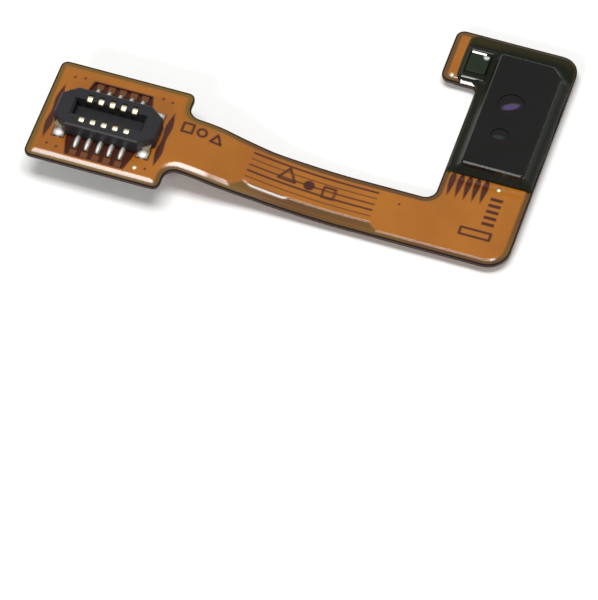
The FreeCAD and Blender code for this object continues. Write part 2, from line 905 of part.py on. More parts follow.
def sealing_resin(occupied):
    """Dark resin that covers the sensor end and climbs the packages' sides."""
    margin = resin_margin
    tab = x_tab + resin_from_tab
    outline = [
        (x_stem + margin, resin_near, resin_corner),
        (x_right - margin, resin_near, resin_corner),
        (x_right - margin, y_far - margin, far_corner),
        (tab, y_far - margin, resin_corner),
        (tab, y_tab + margin, resin_corner),
        (x_stem + margin, y_tab + margin, tab_fillet),
    ]
    low = front_copper_level + coverlay_thickness
    coat = prism(outline, low, film_top + resin_thickness)
    collars = [
        skirt(sensor_x, sensor_y, sensor_width, sensor_length, resin_climb),
        skirt(light_x, light_y, light_width, light_length, resin_light_climb),
    ]
    room = prism(outline, low, above_all)
    packages = [
        prism([(sensor_x + x, sensor_y + y, r) for x, y, r in sensor_outline()], sensor_z, above_all),
        block(
            light_x - light_width / 2, light_x + light_width / 2,
            light_y - light_length / 2, light_y + light_length / 2, film_top, above_all,
        ),
    ]
    return coat.multiFuse(collars).common(room).cut(packages + occupied)


def test_points():
    dots = []
    for x, y, level in test_places():
        dots.append(stud(x, y, test_radius, level - coverlay_thickness, level + test_height))
    return dots


def build():
    pieces = laminate()
    pieces.update(plates())
    pieces.update(connector())
    pieces.update(sensor())
    pieces.update(indicator())
    dots = test_points()
    seated = dots + pieces["sensor_solder"].Solids + pieces["indicator_solder"].Solids + clip_openings()
    pieces["front_coverlay"] = pieces["front_coverlay"].cut(seated)
    pieces["test_points"] = Part.makeCompound(dots)
    in_the_way = [pieces["front_coverlay"]] + dots
    in_the_way += pieces["sensor_solder"].Solids + pieces["indicator_solder"].Solids
    pieces["sealing_resin"] = sealing_resin(in_the_way)
    return pieces


os.makedirs("parts", exist_ok=True)
for name, shape in build().items():
    shape.exportStep("parts/" + name + ".step")
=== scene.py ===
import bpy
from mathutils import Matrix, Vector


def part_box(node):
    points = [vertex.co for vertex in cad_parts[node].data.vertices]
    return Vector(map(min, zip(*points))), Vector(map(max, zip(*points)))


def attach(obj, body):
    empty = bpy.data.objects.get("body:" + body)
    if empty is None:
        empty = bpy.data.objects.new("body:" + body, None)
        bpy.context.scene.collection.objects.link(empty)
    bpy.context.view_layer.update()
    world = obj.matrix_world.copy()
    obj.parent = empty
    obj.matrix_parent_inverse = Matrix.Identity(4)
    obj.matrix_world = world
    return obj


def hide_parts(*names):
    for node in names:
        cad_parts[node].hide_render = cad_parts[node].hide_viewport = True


bl_info = {
    "name": "Flat flex cable",
    "version": (1, 0, 0),
    "blender": (4, 5, 0),
    "location": "View3D > Sidebar > Flex cable",
    "description": "Dresses a flexible circuit cable with a board connector and an optical sensor",
    "category": "Object",
}

import bpy
import numpy as np
from mathutils import Vector

MM = 0.001

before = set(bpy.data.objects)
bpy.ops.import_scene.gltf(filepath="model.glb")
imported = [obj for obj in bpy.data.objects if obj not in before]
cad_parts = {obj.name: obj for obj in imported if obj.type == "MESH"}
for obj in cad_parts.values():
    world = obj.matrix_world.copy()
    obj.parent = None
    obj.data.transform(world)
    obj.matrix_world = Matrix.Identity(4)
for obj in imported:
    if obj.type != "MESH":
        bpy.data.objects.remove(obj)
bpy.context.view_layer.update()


def span(node):
    """Lowest and highest corner of a CAD node in millimetres."""
    low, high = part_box(node)
    return np.array(low) / MM, np.array(high) / MM


def middle(node):
    return sum(span(node)) / 2


# Places that the frame gives, in millimetres
FILM_LOW, FILM_HIGH = span("base_film")
PLATE_LOW, PLATE_HIGH = span("connector_plate")
SENSOR_PLATE_LOW, SENSOR_PLATE_HIGH = span("sensor_plate")
HOUSING = middle("connector_housing")
CAP_LOW, CAP_HIGH = span("sensor_cap")
LENS_LOW, LENS_HIGH = span("indicator_lens")
TERMINAL_LOW, TERMINAL_HIGH = span("indicator_terminals")
EMITTER = middle("emitter_die")
DETECTOR = middle("detector_die")
CONTACTS = ["contact_%02d" % number for number in range(1, 11)]
CORNERS = [(side_x, side_y) for side_x in (-1, 1) for side_y in (-1, 1)]

# Radii of the two apertures at the cap's top
EMITTER_HOLE = 0.33
DETECTOR_HOLE = 0.48

# Film outline in plan, in millimetres
MARGIN = 0.2
STEM_WIDTH = 3.09
PAD_WIDTH = 4.1
RIBBON_WIDTH = 2.05
NECK_WIDTH = 2.25
NECK_LENGTH = 1.35
TAPER_LENGTH = 1.7
TAB_WIDTH = 2.19
TAB_REACH = 1.33
PAD_CORNER = 0.25
NECK_FILLET = 0.4
TAPER_BLEND = 2.0
INNER_CORNER = 0.4
OUTER_CORNER = 0.8
FAR_CORNER = 0.65
TAB_CORNER = 0.3
TAB_FILLET = 0.25

X_LEFT, Y_NEAR = FILM_LOW[:2]
X_RIGHT, Y_FAR = FILM_HIGH[:2]
X_PAD = PLATE_HIGH[0] + MARGIN
X_NECK = X_PAD + NECK_LENGTH
X_TAPER = X_NECK + TAPER_LENGTH
X_STEM = X_RIGHT - STEM_WIDTH
X_TAB = X_STEM - TAB_REACH
Y_RIBBON = (PLATE_LOW[1] + PLATE_HIGH[1]) / 2
Y_ROWS = HOUSING[1]
Y_TAB = Y_FAR - TAB_WIDTH
Y_SENSOR = SENSOR_PLATE_LOW[1]
RIBBON_NEAR = Y_RIBBON - RIBBON_WIDTH / 2
RIBBON_FAR = Y_RIBBON + RIBBON_WIDTH / 2

# Layers of the laminate, above the film's underside
ADHESIVE = 0.05
UNDERSIDE = SENSOR_PLATE_HIGH[2] + ADHESIVE
COVER = 0.04
COPPER = 0.035
BASE = 0.05
BASE_LOW = COVER + COPPER
BASE_HIGH = BASE_LOW + BASE
FILM_TOP = BASE_HIGH + COPPER + COVER

# The set bend: two tangent arcs between the flat ribbon and the raised pad
PAD_RISE = PLATE_LOW[2]
TIGHT_RADIUS = 5.0
FLAT_RIBBON = 2.5
BEND_START = X_STEM - FLAT_RIBBON
BEND_ANGLE = 2 * np.arctan2(PAD_RISE, BEND_START - X_PAD)
LONG_RADIUS = (BEND_START - X_PAD) / np.sin(BEND_ANGLE) - TIGHT_RADIUS

PAD_TOP = UNDERSIDE + FILM_TOP + PAD_RISE
SENSOR_TOP = UNDERSIDE + FILM_TOP

# Gaps etched in the front copper, in millimetres
SLOT_START = -1.025
SLOT_END = 3.435
SLOT_HALVES = (0.024, 0.044, 0.036, 0.024, 0.044)
WIDE_MARGIN = 0.47
FINGER_START = 0.365
FINGER_PITCH = 0.29


def linear(code):
    """Linear red, green, blue and alpha of an sRGB colour written as six hex digits."""
    values = np.array([int(code[i:i + 2], 16) for i in (0, 2, 4)]) / 255
    straight = values / 12.92
    curved = ((values + 0.055) / 1.055) ** 2.4
    return tuple(np.where(values <= 0.04045, straight, curved)) + (1.0,)


def colour(name, description, code):
    return bpy.props.FloatVectorProperty(
        name=name, description=description, default=linear(code), size=4, min=0, max=1, subtype="COLOR"
    )


def amount(name, description, default, unit):
    return bpy.props.FloatProperty(
        name=name, description=description, default=default, min=0, precision=6, unit=unit
    )


def length(name, description, millimetres):
    return amount(name, description, millimetres * MM, "LENGTH")


class CableFilm(bpy.types.PropertyGroup):
    """Sizes and colours of the flexible laminate"""

    edge_run: length("Edge run", "How far in from its edge the film starts to turn down", 0.34)
    step: length("Copper step", "Width of the slope where the cover film drapes over copper", 0.05)
    soft_step: length("Soft step", "The same width where the film is softest", 0.22)
    gap_dip: length("Gap dip", "How far the cover film sinks into a narrow gap between traces", 0.006)
    amber: colour("Amber", "Cover film over copper", "AC6810")
    brown: colour("Brown", "Cover film over copper where it is thicker", "99580B")
    gap: colour("Gap", "Film where the copper is etched away", "451604")
    margin: colour("Margin", "Bare film along the outline", "73530C")
    dark_margin: colour("Dark margin", "Bare film along the outline where it looks browner", "623F14")
    rim: colour("Rim", "Cut edge of the film", "1F1309")
    back_amber: colour("Back amber", "Back cover film over copper", "C98535")
    back_brown: colour("Back brown", "Back cover film over copper where it is thicker", "A8631F")
    back_band: colour("Back band", "Back cover film over the fine traces", "5C2A16")


class CableMetal(bpy.types.PropertyGroup):
    """Colours of the plated and bare metal pieces"""

    gold: colour("Gold", "Contacts' heads", "FFF3CF")
    # Painted shade: the dark colour of the contacts' legs below their heads, where they go down into the
    # housing.
    leg_shade: colour("Nickel", "Contacts' legs, where the gold stops", "6B5E4A")
    tin: colour("Tin", "Solder, clips and terminals", "F6F5F1")
    brass: colour("Brass", "Clips' feet, tinned and stained by flux", "A89C88")
    steel: colour("Steel", "Stiffening plates", "A8A7A0")
    copper: colour("Copper", "Etched copper between the films", "B87350")
    flux: colour("Flux", "Contact pads past the solder", "8A5A3C")
    dot_radius: length("Dot radius", "Radius of a bright test point", 0.1)


class CableConnector(bpy.types.PropertyGroup):
    """Sizes and colours of the connector"""

    fold_radius: length("Fold radius", "Radius of a contact's folds over the housing's wall", 0.098)
    foot_radius: length("Foot radius", "Radius of a contact's fold above its tail", 0.07)
    solder_height: length("Solder height", "Height of the solder on a contact's tail", 0.13)
    moulding: colour("Moulding", "Connector housing", "1F1F22")


class CableSensor(bpy.types.PropertyGroup):
    """Sizes and colours of the sensor, the light and the resin over them"""

    edge_bevel: length("Edge bevel", "Bevel of the sensor cap's top edge", 0.05)
    cap: colour("Cap", "Sensor cap", "121311")
    window: colour("Window", "Clear resin in the apertures", "1B1718")
    # Painted glint: a lilac oval on the detector's window, the reflection off the coated silicon under it.
    detector_glint: colour("Coating", "Coated silicon seen through the large aperture", "4F4263")
    # Painted glint: a faint pale oval on the emitter's window, the reflection off the emitter under it.
    emitter_glint: colour("Bonding", "Emitter seen through the small aperture", "2B3031")
    lens: colour("Lens", "Moulded lens of the light", "222B1E")
    die: colour("Die", "Pale die seen in the light's lens", "C4C9C4")
    resin_deep: colour("Deep resin", "Resin where it is thick", "1F211A")
    resin_thin: colour("Thin resin", "Resin where it thins out over the film", "4A4120")
    resin_height: length("Resin height", "Thickness of the resin on the open film", 0.06)
    resin_climb: length("Resin climb", "How far the resin climbs the sensor's sides", 0.42)


class CableStage(bpy.types.PropertyGroup):
    """Floor, lights and camera"""

    floor: colour("Floor", "Plain pale floor", "FAFAF9")
    fill: amount("Fill", "Brightness of the even light", 0.32, "NONE")
    key: amount("Key", "Power of the overhead lamp", 0.275, "POWER")
    front: amount("Front", "Power of the low lamp in front", 0.13, "POWER")
    lens: amount("Lens", "Focal length for a 36 mm sensor", 322, "CAMERA")


def unit(vectors):
    return vectors / np.linalg.norm(vectors, axis=-1, keepdims=True)


def smooth(t):
    """0 up to 0, 1 from 1 on, and between them the cubic that starts and ends level."""
    t = np.clip(t, 0, 1)
    return t * t * (3 - 2 * t)


def rounded_loop(corners, steps=9):
    """Closed outline through corners (x, y, radius). Each corner is an arc tangent to both its sides: its
    points are the circle's centre plus the turned sum of the two end spokes."""
    corners = np.array(corners, float)
    here = corners[:, :2]
    back = unit(np.roll(here, 1, 0) - here)
    ahead = unit(np.roll(here, -1, 0) - here)
    half = np.arccos(np.clip((back * ahead).sum(1), -1, 1)) / 2
    radius = corners[:, 2]
    reach = (radius / np.tan(half))[:, None]
    centre = here + unit(back + ahead) * (radius / np.sin(half))[:, None]
    turn = (np.pi - 2 * half)[:, None, None]
    share = np.linspace(0, 1, steps)[None, :, None]
    first = (here + back * reach - centre)[:, None]
    last = (here + ahead * reach - centre)[:, None]
    spokes = (np.sin((1 - share) * turn) * first + np.sin(share * turn) * last) / np.sin(turn)
    return (centre[:, None] + spokes).reshape(-1, 2)


def from_outline(loop, x, y):
    """Signed distance of points from a closed outline, negative inside: the least distance to any side, with
    the sign told by how many sides a level line to the right crosses."""
    loop = np.asarray(loop, float)[:, :2]
    squared = np.full(np.shape(x), np.inf)
    inside = np.zeros(np.shape(x), bool)
    for start, end in zip(loop, np.roll(loop, -1, 0)):
        side = end - start
        length_squared = side @ side
        if length_squared < 1e-12:
            continue
        from_x = x - start[0]
        from_y = y - start[1]
        along = np.clip((from_x * side[0] + from_y * side[1]) / length_squared, 0, 1)
        squared = np.minimum(squared, (from_x - along * side[0]) ** 2 + (from_y - along * side[1]) ** 2)
        crossed = (start[1] > y) != (end[1] > y)
        if side[1]:
            inside ^= crossed & (x < start[0] + from_y * side[0] / side[1])
    return np.where(inside, -1, 1) * np.sqrt(squared)


def nearest(shapes, x, y):
    """Signed distance from the nearest of several closed outlines, negative inside any of them."""
    return np.minimum.reduce([from_outline(shape, x, y) for shape in shapes])


def rectangle(x_low, x_high, y_low, y_high, radius=0):
    return [
        (x_low, y_low, radius), (x_high, y_low, radius), (x_high, y_high, radius), (x_low, y_high, radius),
    ]


def film_loop():
    """The film's outline: pad, neck, taper, ribbon, stem and tab."""
    neck_near = Y_RIBBON - NECK_WIDTH / 2
    neck_far = Y_RIBBON + NECK_WIDTH / 2
    return rounded_loop([
        (X_LEFT, Y_NEAR, PAD_CORNER),
        (X_PAD, Y_NEAR, PAD_CORNER),
        (X_PAD, neck_near, NECK_FILLET),
        (X_NECK, neck_near, TAPER_BLEND),
        (X_TAPER, RIBBON_NEAR, TAPER_BLEND),
        (X_RIGHT, RIBBON_NEAR, OUTER_CORNER),
        (X_RIGHT, Y_FAR, FAR_CORNER),
        (X_TAB, Y_FAR, TAB_CORNER),
        (X_TAB, Y_TAB, TAB_CORNER),
        (X_STEM, Y_TAB, TAB_FILLET),
        (X_STEM, RIBBON_FAR, INNER_CORNER),
        (X_TAPER, RIBBON_FAR, TAPER_BLEND),
        (X_NECK, neck_far, TAPER_BLEND),
        (X_PAD, neck_far, NECK_FILLET),
        (X_PAD, Y_NEAR + PAD_WIDTH, PAD_CORNER),
        (X_LEFT, Y_NEAR + PAD_WIDTH, PAD_CORNER),
    ])


FILM = film_loop()


def in_film(x, y):
    return from_outline(FILM, x, y)


def bent(x, above):
    """Height of the laminate at plan place x, for a level above its underside: flat at the stem, a long arc
    up, a tight arc back, and flat at the pad."""
    rise = LONG_RADIUS - above
    crest = TIGHT_RADIUS + above
    turn_x = X_PAD + np.sin(BEND_ANGLE) * crest
    past_start = np.clip(BEND_START - x, 0, None)
    past_pad = np.clip(x - X_PAD, 0, None)
    lower = LONG_RADIUS - np.sqrt(np.maximum(rise ** 2 - past_start ** 2, 0))
    upper = PAD_RISE - TIGHT_RADIUS + np.sqrt(np.maximum(crest ** 2 - past_pad ** 2, 0))
    return UNDERSIDE + np.where(x > turn_x, lower, upper)


def softness(x):
    """1 at the pad, the neck and the tight bend, where the film's edges are softest, down to 0 along the flat
    ribbon."""
    fade_start = 0.42
    fade_run = 0.25
    return 1 - smooth((x - fade_start) / fade_run)


def shoulder(u):
    """0 up to 0, then rising to a steady slope of 1: u^2 / (u + a), where a rounds the start."""
    start_round = 0.02
    u = np.clip(u, 0, None)
    return u ** 2 / (u + start_round)


def edge_drop(outline, x, film):
    """How far the film's free edge turns down: one slight slope, which fades out over the bend, and past the
    copper a slighter one on top of it."""
    pad_slope = 0.1
    bare_slope = 0.04
    fade_start = -0.4
    fade_run = 1.6
    inward = -outline
    slope = pad_slope * (1 - smooth((x - fade_start) / fade_run))
    return slope * shoulder(film.edge_run / MM - inward) + bare_slope * shoulder(MARGIN - inward)


def draped(edge, x, film):
    """1 where the cover film lies on copper and 0 past the copper's edge. The slope between them is wider
    where the film is soft, and lies further out where the tight bend slackens it."""
    slack_start = -0.95
    slack_run = 0.2
    narrower = 0.05
    soft_shift = 0.03
    slack_shift = 0.1
    soft = softness(x)
    slack = smooth((x - slack_start) / slack_run) * soft
    width = film.step / MM + (film.soft_step - film.step) / MM * soft - narrower * slack
    return smooth(0.5 - (edge + soft_shift * soft - slack_shift * slack) / width)


def grid_lines(low, high, step, zones=()):
    """Lines from low to high, a step apart and closer in the zones (start, end, step): equal shares of the
    summed line density."""
    samples = 20001
    place = np.linspace(low, high, samples)
    density = np.full(place.shape, 1 / step)
    for start, end, fine in zones:
        density = np.where((place > start) & (place < end), np.maximum(density, 1 / fine), density)
    total = np.concatenate([[0], np.cumsum((density[1:] + density[:-1]) / 2 * np.diff(place))])
    return np.interp(np.linspace(0, total[-1], int(np.ceil(total[-1])) + 1), total, place)


def near_edges(places, reach, step):
    return [(place - reach, place + reach, step) for place in places]


def fitted_grid(xs, ys, domain):
    """Plan grid cut to a domain (negative inside): cells whose middle is inside stay, and points on the rim
    of the kept cells slide along the domain's slope onto its edge. Gives x, y and the four corners of each
    cell."""
    slides = 4
    nudge = 1e-4
    least_steep = 0.25
    x_middle, y_middle = np.meshgrid((xs[1:] + xs[:-1]) / 2, (ys[1:] + ys[:-1]) / 2, indexing="ij")
    kept = domain(x_middle, y_middle) < 0
    around = np.pad(kept, 1).astype(int)
    touching = around[:-1, :-1] + around[1:, :-1] + around[:-1, 1:] + around[1:, 1:]
    used = touching > 0
    number = np.cumsum(used).reshape(used.shape) - 1
    x_all, y_all = np.meshgrid(xs, ys, indexing="ij")
    x = x_all[used]
    y = y_all[used]
    rim = touching[used] < 4
    for _ in range(slides):
        at = domain(x[rim], y[rim])
        slope_x = (domain(x[rim] + nudge, y[rim]) - at) / nudge
        slope_y = (domain(x[rim], y[rim] + nudge) - at) / nudge
        steep = np.maximum(slope_x ** 2 + slope_y ** 2, least_steep)
        x[rim] -= at * slope_x / steep
        y[rim] -= at * slope_y / steep
    corner = number[:-1, :-1], number[1:, :-1], number[1:, 1:], number[:-1, 1:]
    return x, y, np.stack([c[kept] for c in corner], 1)


def closed_shell(x, y, cells, top, bottom):
    """Points and faces of the slab between two height fields over one plan grid, with a wall round each rim:
    a side is on a rim where no cell has it the other way round."""
    count = len(x)
    points = np.concatenate([np.stack([x, y, top], 1), np.stack([x, y, bottom], 1)])
    start = cells.ravel()
    end = np.roll(cells, -1, 1).ravel()
    key = start.astype(np.int64) * count + end
    reverse = end.astype(np.int64) * count + start
    rim = ~np.isin(key, reverse)
    wall = np.stack([end[rim], start[rim], start[rim] + count, end[rim] + count], 1)
    return points, [cells, cells[:, ::-1] + count, wall]


def tube_sides(rings, steps):
    """Faces between rings of points, each ring joined to the next."""
    rows, columns = np.meshgrid(np.arange(rings - 1), np.arange(steps), indexing="ij")
    first = rows * steps + columns
    beside = rows * steps + (columns + 1) % steps
    return np.stack([first, beside, beside + steps, first + steps], -1).reshape(-1, 4)


def swept(centres, sideways, normals, half_width, half_thickness, roundness=0.6, steps=16):
    """A strip carried along a path: each section is a rounded oblong, across = sign(cos a)|cos a|^p and up =
    sign(sin a)|sin a|^p, and both ends are closed by a flat face."""
    angle = np.linspace(0, 2 * np.pi, steps, endpoint=False)
    across = np.sign(np.cos(angle)) * np.abs(np.cos(angle)) ** roundness * half_width
    up = np.sign(np.sin(angle)) * np.abs(np.sin(angle)) ** roundness * half_thickness
    rings = centres[:, None] + across[None, :, None] * sideways + up[None, :, None] * normals[:, None]
    ends = np.array([np.arange(steps)[::-1], np.arange(steps) + steps * (len(centres) - 1)])
    return rings.reshape(-1, 3), [tube_sides(len(centres), steps), ends]


def dome(x, y, level, half_x, half_y, height, rings=8, steps=20, power=2.0):
    """A closed mound: over rings of radius r its height is (1 - r^2)^(1/power), and a flat face closes it
    below."""
    radius = np.sin(np.linspace(np.pi / 2, 0, rings, endpoint=False))[:, None]
    angle = np.linspace(0, 2 * np.pi, steps, endpoint=False)[None, :]
    across = x + half_x * radius * np.cos(angle)
    along = y + half_y * radius * np.sin(angle)
    up = level + height * (np.clip(1 - radius ** 2, 0, 1) ** (1 / power)) + 0 * angle
    ring_points = np.stack([across, along, up], -1).reshape(-1, 3)
    points = np.concatenate([ring_points, [[x, y, level + height]]])
    around = np.arange(steps)
    last = (rings - 1) * steps
    cap = np.stack([last + around, last + (around + 1) % steps, np.full(steps, len(ring_points))], -1)
    floor = around[None, ::-1]
    return points, [tube_sides(rings, steps), cap, floor]


def rounded_path(corners, steps=10):
    """Open path through corners (u, v, radius), each an arc tangent to both its sides."""
    corners = np.array(corners, float)
    loop = rounded_loop(corners, steps).reshape(len(corners), steps, 2)
    inner = loop[1:-1].reshape(-1, 2)
    path = np.concatenate([corners[:1, :2], inner, corners[-1:, :2]])
    apart = np.concatenate([[True], np.linalg.norm(np.diff(path, axis=0), axis=1) > 1e-6])
    return path[apart]


def joined(parts):
    """Points and faces of several shapes as one."""
    faces = []
    total = 0
    for part_points, part_faces in parts:
        faces += [group + total for group in part_faces]
        total += len(part_points)
    return np.concatenate([part_points for part_points, _ in parts]), faces


def new_object(name, data):
    item = bpy.data.objects.new(name, data)
    bpy.context.scene.collection.objects.link(item)
    return item


def make_piece(name, shape, material, stands_for, masks=None, sharp=35):
    """Writes points in millimetres and faces into a mesh at the origin that rides on the root body."""
    points, faces = shape
    mesh = bpy.data.meshes.new(name)
    corners = np.concatenate([group.ravel() for group in faces])
    sides = np.concatenate([np.full(len(group), group.shape[1]) for group in faces])
    mesh.vertices.add(len(points))
    mesh.vertices.foreach_set("co", (points * MM).astype(np.float32).ravel())
    mesh.loops.add(len(corners))
    mesh.loops.foreach_set("vertex_index", corners.astype(np.int32))
    mesh.polygons.add(len(sides))
    mesh.polygons.foreach_set("loop_start", (np.cumsum(sides) - sides).astype(np.int32))
    mesh.update(calc_edges=True)
    mesh.validate()
    mesh.polygons.foreach_set("use_smooth", np.ones(len(mesh.polygons), bool))
    for mask, values in (masks or {}).items():
        layer = mesh.attributes.new(mask, "FLOAT", "POINT")
        layer.data.foreach_set("value", np.resize(values, len(points)).astype(np.float32))
    mesh.set_sharp_from_angle(angle=np.radians(sharp))
    mesh.materials.append(material)
    piece = new_object(name, mesh)
    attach(piece, "root")
    if stands_for:
        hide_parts(*stands_for)


def add_node(tree, kind, inputs=None, output=0, **settings):
    """Adds one node with its settings and links, and gives one of its outputs. Each input is a constant or
    another node's output."""
    node = tree.nodes.new(kind)
    for name, value in settings.items():
        setattr(node, name, value)
    for name, value in (inputs or {}).items():
        if isinstance(value, bpy.types.NodeSocket):
            tree.links.new(value, node.inputs[name])
        else:
            node.inputs[name].default_value = value
    return node.outputs[output] if len(node.outputs) else None


def new_material(name):
    """An empty material and its tree."""
    material = bpy.data.materials.new(name)
    material.use_nodes = True
    material.node_tree.nodes.clear()
    return material, material.node_tree


def surfaced(material, inputs):
    """Ends a material's tree with the shader and what feeds it."""
    tree = material.node_tree
    shader = add_node(tree, "ShaderNodeBsdfPrincipled", inputs)
    add_node(tree, "ShaderNodeOutputMaterial", {"Surface": shader})
    return material


def layered(tree, tint, *layers):
    """Colours laid over a first one. Each layer is the value it follows, where along that it starts and where
    it covers all, and its colour."""
    for value, start, end, over in layers:
        share = add_node(tree, "ShaderNodeMapRange", {"Value": value, "From Min": start, "From Max": end})
        tint = add_node(tree, "ShaderNodeMix", {0: share, 6: tint, 7: over}, output=2, data_type="RGBA")
    return tint


def shaded(tint, share, lift=0.0):
    """A colour times a share, lifted a little."""
    return tuple(min(value * share + lift, 1) for value in tint[:3]) + (1.0,)


def coverlay_material(name, film, amber, brown, band=None):
    """Polyimide cover film over etched copper, roll-laminated: amber and glossy, brown where no copper lies
    under it, with faint long ripples from the press. Its cut edge is drawn dark and matt, with hardly any
    reflection."""
    material, tree = new_material(name)
    place = add_node(tree, "ShaderNodeTexCoord", output="Object")
    ripple, cloud, patches = [
        add_node(tree, "ShaderNodeTexNoise", {"Vector": place, "Scale": 1 / (size * MM), "Detail": detail})
        for size, detail in ((1.8, 2.0), (2.6, 4.0), (5.0, 1.0))
    ]
    etched, bare = [
        add_node(tree, "ShaderNodeAttribute", output="Fac", attribute_name=mask)
        for mask in ("etched", "bare")
    ]
    margin = layered(tree, film.margin, (patches, 0.42, 0.58, film.dark_margin))
    cut = bare, MARGIN - 0.075, MARGIN - 0.035
    layers = [(cloud, 0.3, 0.7, amber), (etched, -0.02, 0.03, film.gap), (bare, -0.035, 0.035, margin)]
    if band:
        corridor = add_node(tree, "ShaderNodeAttribute", output="Fac", attribute_name="band")
        layers.insert(1, (corridor, -0.06, 0.06, band))
    rough = {"Value": bare, "From Min": cut[1], "From Max": cut[2], "To Min": 0.2, "To Max": 0.7}
    return surfaced(material, {
        "Base Color": layered(tree, brown, *layers, (*cut, film.rim)),
        "Specular Tint": layered(tree, (1, 1, 1, 1), (*cut, (0.1, 0.1, 0.1, 1))),
        "Roughness": add_node(tree, "ShaderNodeMapRange", rough),
        "IOR": 1.75,
        "Normal": add_node(tree, "ShaderNodeBump", {"Height": ripple, "Distance": 0.012 * MM}),
    })


def plain_film_material(name, tint):
    """Bare polyimide, cast: brown where light passes it twice, satin."""
    material, tree = new_material(name)
    place = add_node(tree, "ShaderNodeTexCoord", output="Object")
    cloud = add_node(tree, "ShaderNodeTexNoise", {"Vector": place, "Scale": 1 / (0.5 * MM), "Detail": 3.0})
    return surfaced(material, {
        "Base Color": layered(tree, shaded(tint, 0.75), (cloud, 0, 1, tint)),
        "Roughness": 0.35, "IOR": 1.5, "Specular IOR Level": 0.4,
    })


def metal_material(name, tint, roughness, size, depth):
    """A bright or plated metal whose fine grain breaks its reflections. Its size and depth are in
    millimetres, and it is drawn as coarse as it needs to show."""
    material, tree = new_material(name)
    place = add_node(tree, "ShaderNodeTexCoord", output="Object")
    cloud = add_node(tree, "ShaderNodeTexNoise", {"Vector": place, "Scale": 1 / (size * MM), "Detail": 4.0})
    rough = {"Value": cloud, "To Min": roughness * 0.8, "To Max": roughness * 1.25}
    return surfaced(material, {
        "Base Color": layered(tree, shaded(tint, 0.82), (cloud, 0, 1, tint)),
        "Metallic": 1.0,
        "Roughness": add_node(tree, "ShaderNodeMapRange", rough),
        "Normal": add_node(tree, "ShaderNodeBump", {"Height": cloud, "Distance": depth * MM}),
    })


def gold_material(name, tint, painted_leg_shade, level):
    """Gold flash on stamped bronze: warm and bright on the heads. Below a level the colour turns dark,
    painted shade on the legs that go down into the housing's recess."""
    material, tree = new_material(name)
    place = add_node(tree, "ShaderNodeTexCoord", output="Object")
    height = add_node(tree, "ShaderNodeSeparateXYZ", {"Vector": place}, output="Z")
    on_head = height, (level - 0.03) * MM, (level + 0.01) * MM, tint
    return surfaced(material, {
        "Base Color": layered(tree, painted_leg_shade, on_head), "Metallic": 1.0, "Roughness": 0.5,
    })


def brushed_material(name, tint, roughness):
    """Stainless steel strip, cold rolled and brushed: a satin grey sheen from long fine scratches along the
    ribbon, drawn as coarse as they need to show."""
    material, tree = new_material(name)
    place = add_node(tree, "ShaderNodeTexCoord", output="Object")
    drawn = add_node(tree, "ShaderNodeMapping", {"Vector": place, "Scale": (0.06, 1.0, 0.06)})
    lines = add_node(tree, "ShaderNodeTexNoise", {"Vector": drawn, "Scale": 1 / (0.05 * MM), "Detail": 3.0})
    return surfaced(material, {
        "Base Color": layered(tree, shaded(tint, 0.86), (lines, 0, 1, tint)),
        "Metallic": 1.0, "Roughness": roughness,
        "Normal": add_node(tree, "ShaderNodeBump", {"Height": lines, "Distance": 0.0012 * MM}),
    })


def moulded_material(name, tint, roughness, gloss=0.35):
    """A moulded or cast plastic with a fine eroded grain, drawn as coarse as it needs to show, and lighter
    patches at random, a painted sheen for slightly uneven gloss."""
    material, tree = new_material(name)
    place = add_node(tree, "ShaderNodeTexCoord", output="Object")
    cloud = add_node(tree, "ShaderNodeTexNoise", {"Vector": place, "Scale": 1 / (0.06 * MM), "Detail": 3.0})
    patches = add_node(tree, "ShaderNodeTexNoise", {"Vector": place, "Scale": 1 / (1.2 * MM), "Detail": 2.0})
    return surfaced(material, {
        # Lighter patches at random: painted sheen.
        "Base Color": layered(tree, tint, (patches, 0, 1, shaded(tint, 1.35, 0.002))),
        "Roughness": roughness, "IOR": 1.5, "Specular IOR Level": gloss,
        "Normal": add_node(tree, "ShaderNodeBump", {"Height": cloud, "Distance": 0.003 * MM}),
    })


def epoxy_die_and_glint(name, place, half, turn, tint, seen):
    """Cast epoxy, dark and wet-looking, with an oval patch: on the sensor's windows a painted glint, the
    reflection off the silicon under it, and in the light's lens the pale die under it. The patch lies where
    the offset from its middle, turned and divided by the patch's half width and half height, is shorter than
    1."""
    material, tree = new_material(name)
    point = add_node(tree, "ShaderNodeTexCoord", output="Object")
    inputs = {
        "Vector": point, "Location": [value * MM for value in place], "Rotation": (0, 0, turn),
        "Scale": (half[0] * MM, half[1] * MM, 1),
    }
    oval = add_node(tree, "ShaderNodeMapping", inputs, vector_type="TEXTURE")
    far = add_node(tree, "ShaderNodeVectorMath", {0: oval}, output="Value", operation="LENGTH")
    return surfaced(material, {
        "Base Color": layered(tree, tint, (far, 1.2, 0.75, seen)),
        "Roughness": 0.1, "IOR": 1.5, "Specular IOR Level": 0.35,
    })


def finish(material, *nodes):
    """Gives CAD nodes their material and leaves their meshes alone."""
    for node in nodes:
        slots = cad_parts[node].material_slots
        if not len(slots):
            raise RuntimeError(node + " has no material slot")
        for slot in slots:
            slot.material = material


def side_of(y):
    """Which row of contacts a place belongs to: 1 for the far one, -1 for the near one."""
    return 1 if y > Y_ROWS else -1


def window_corners(side, lap):
    """Trapezium round one row of contact pads, lapped inwards."""
    slant = 0.3
    half = 1.06 - lap
    inner = Y_ROWS + side * (0.43 + lap)
    outer = Y_ROWS + side * (1.61 - lap)
    x = HOUSING[0]
    return [(x - half - slant, inner), (x + half + slant, inner), (x + half, outer), (x - half, outer)]


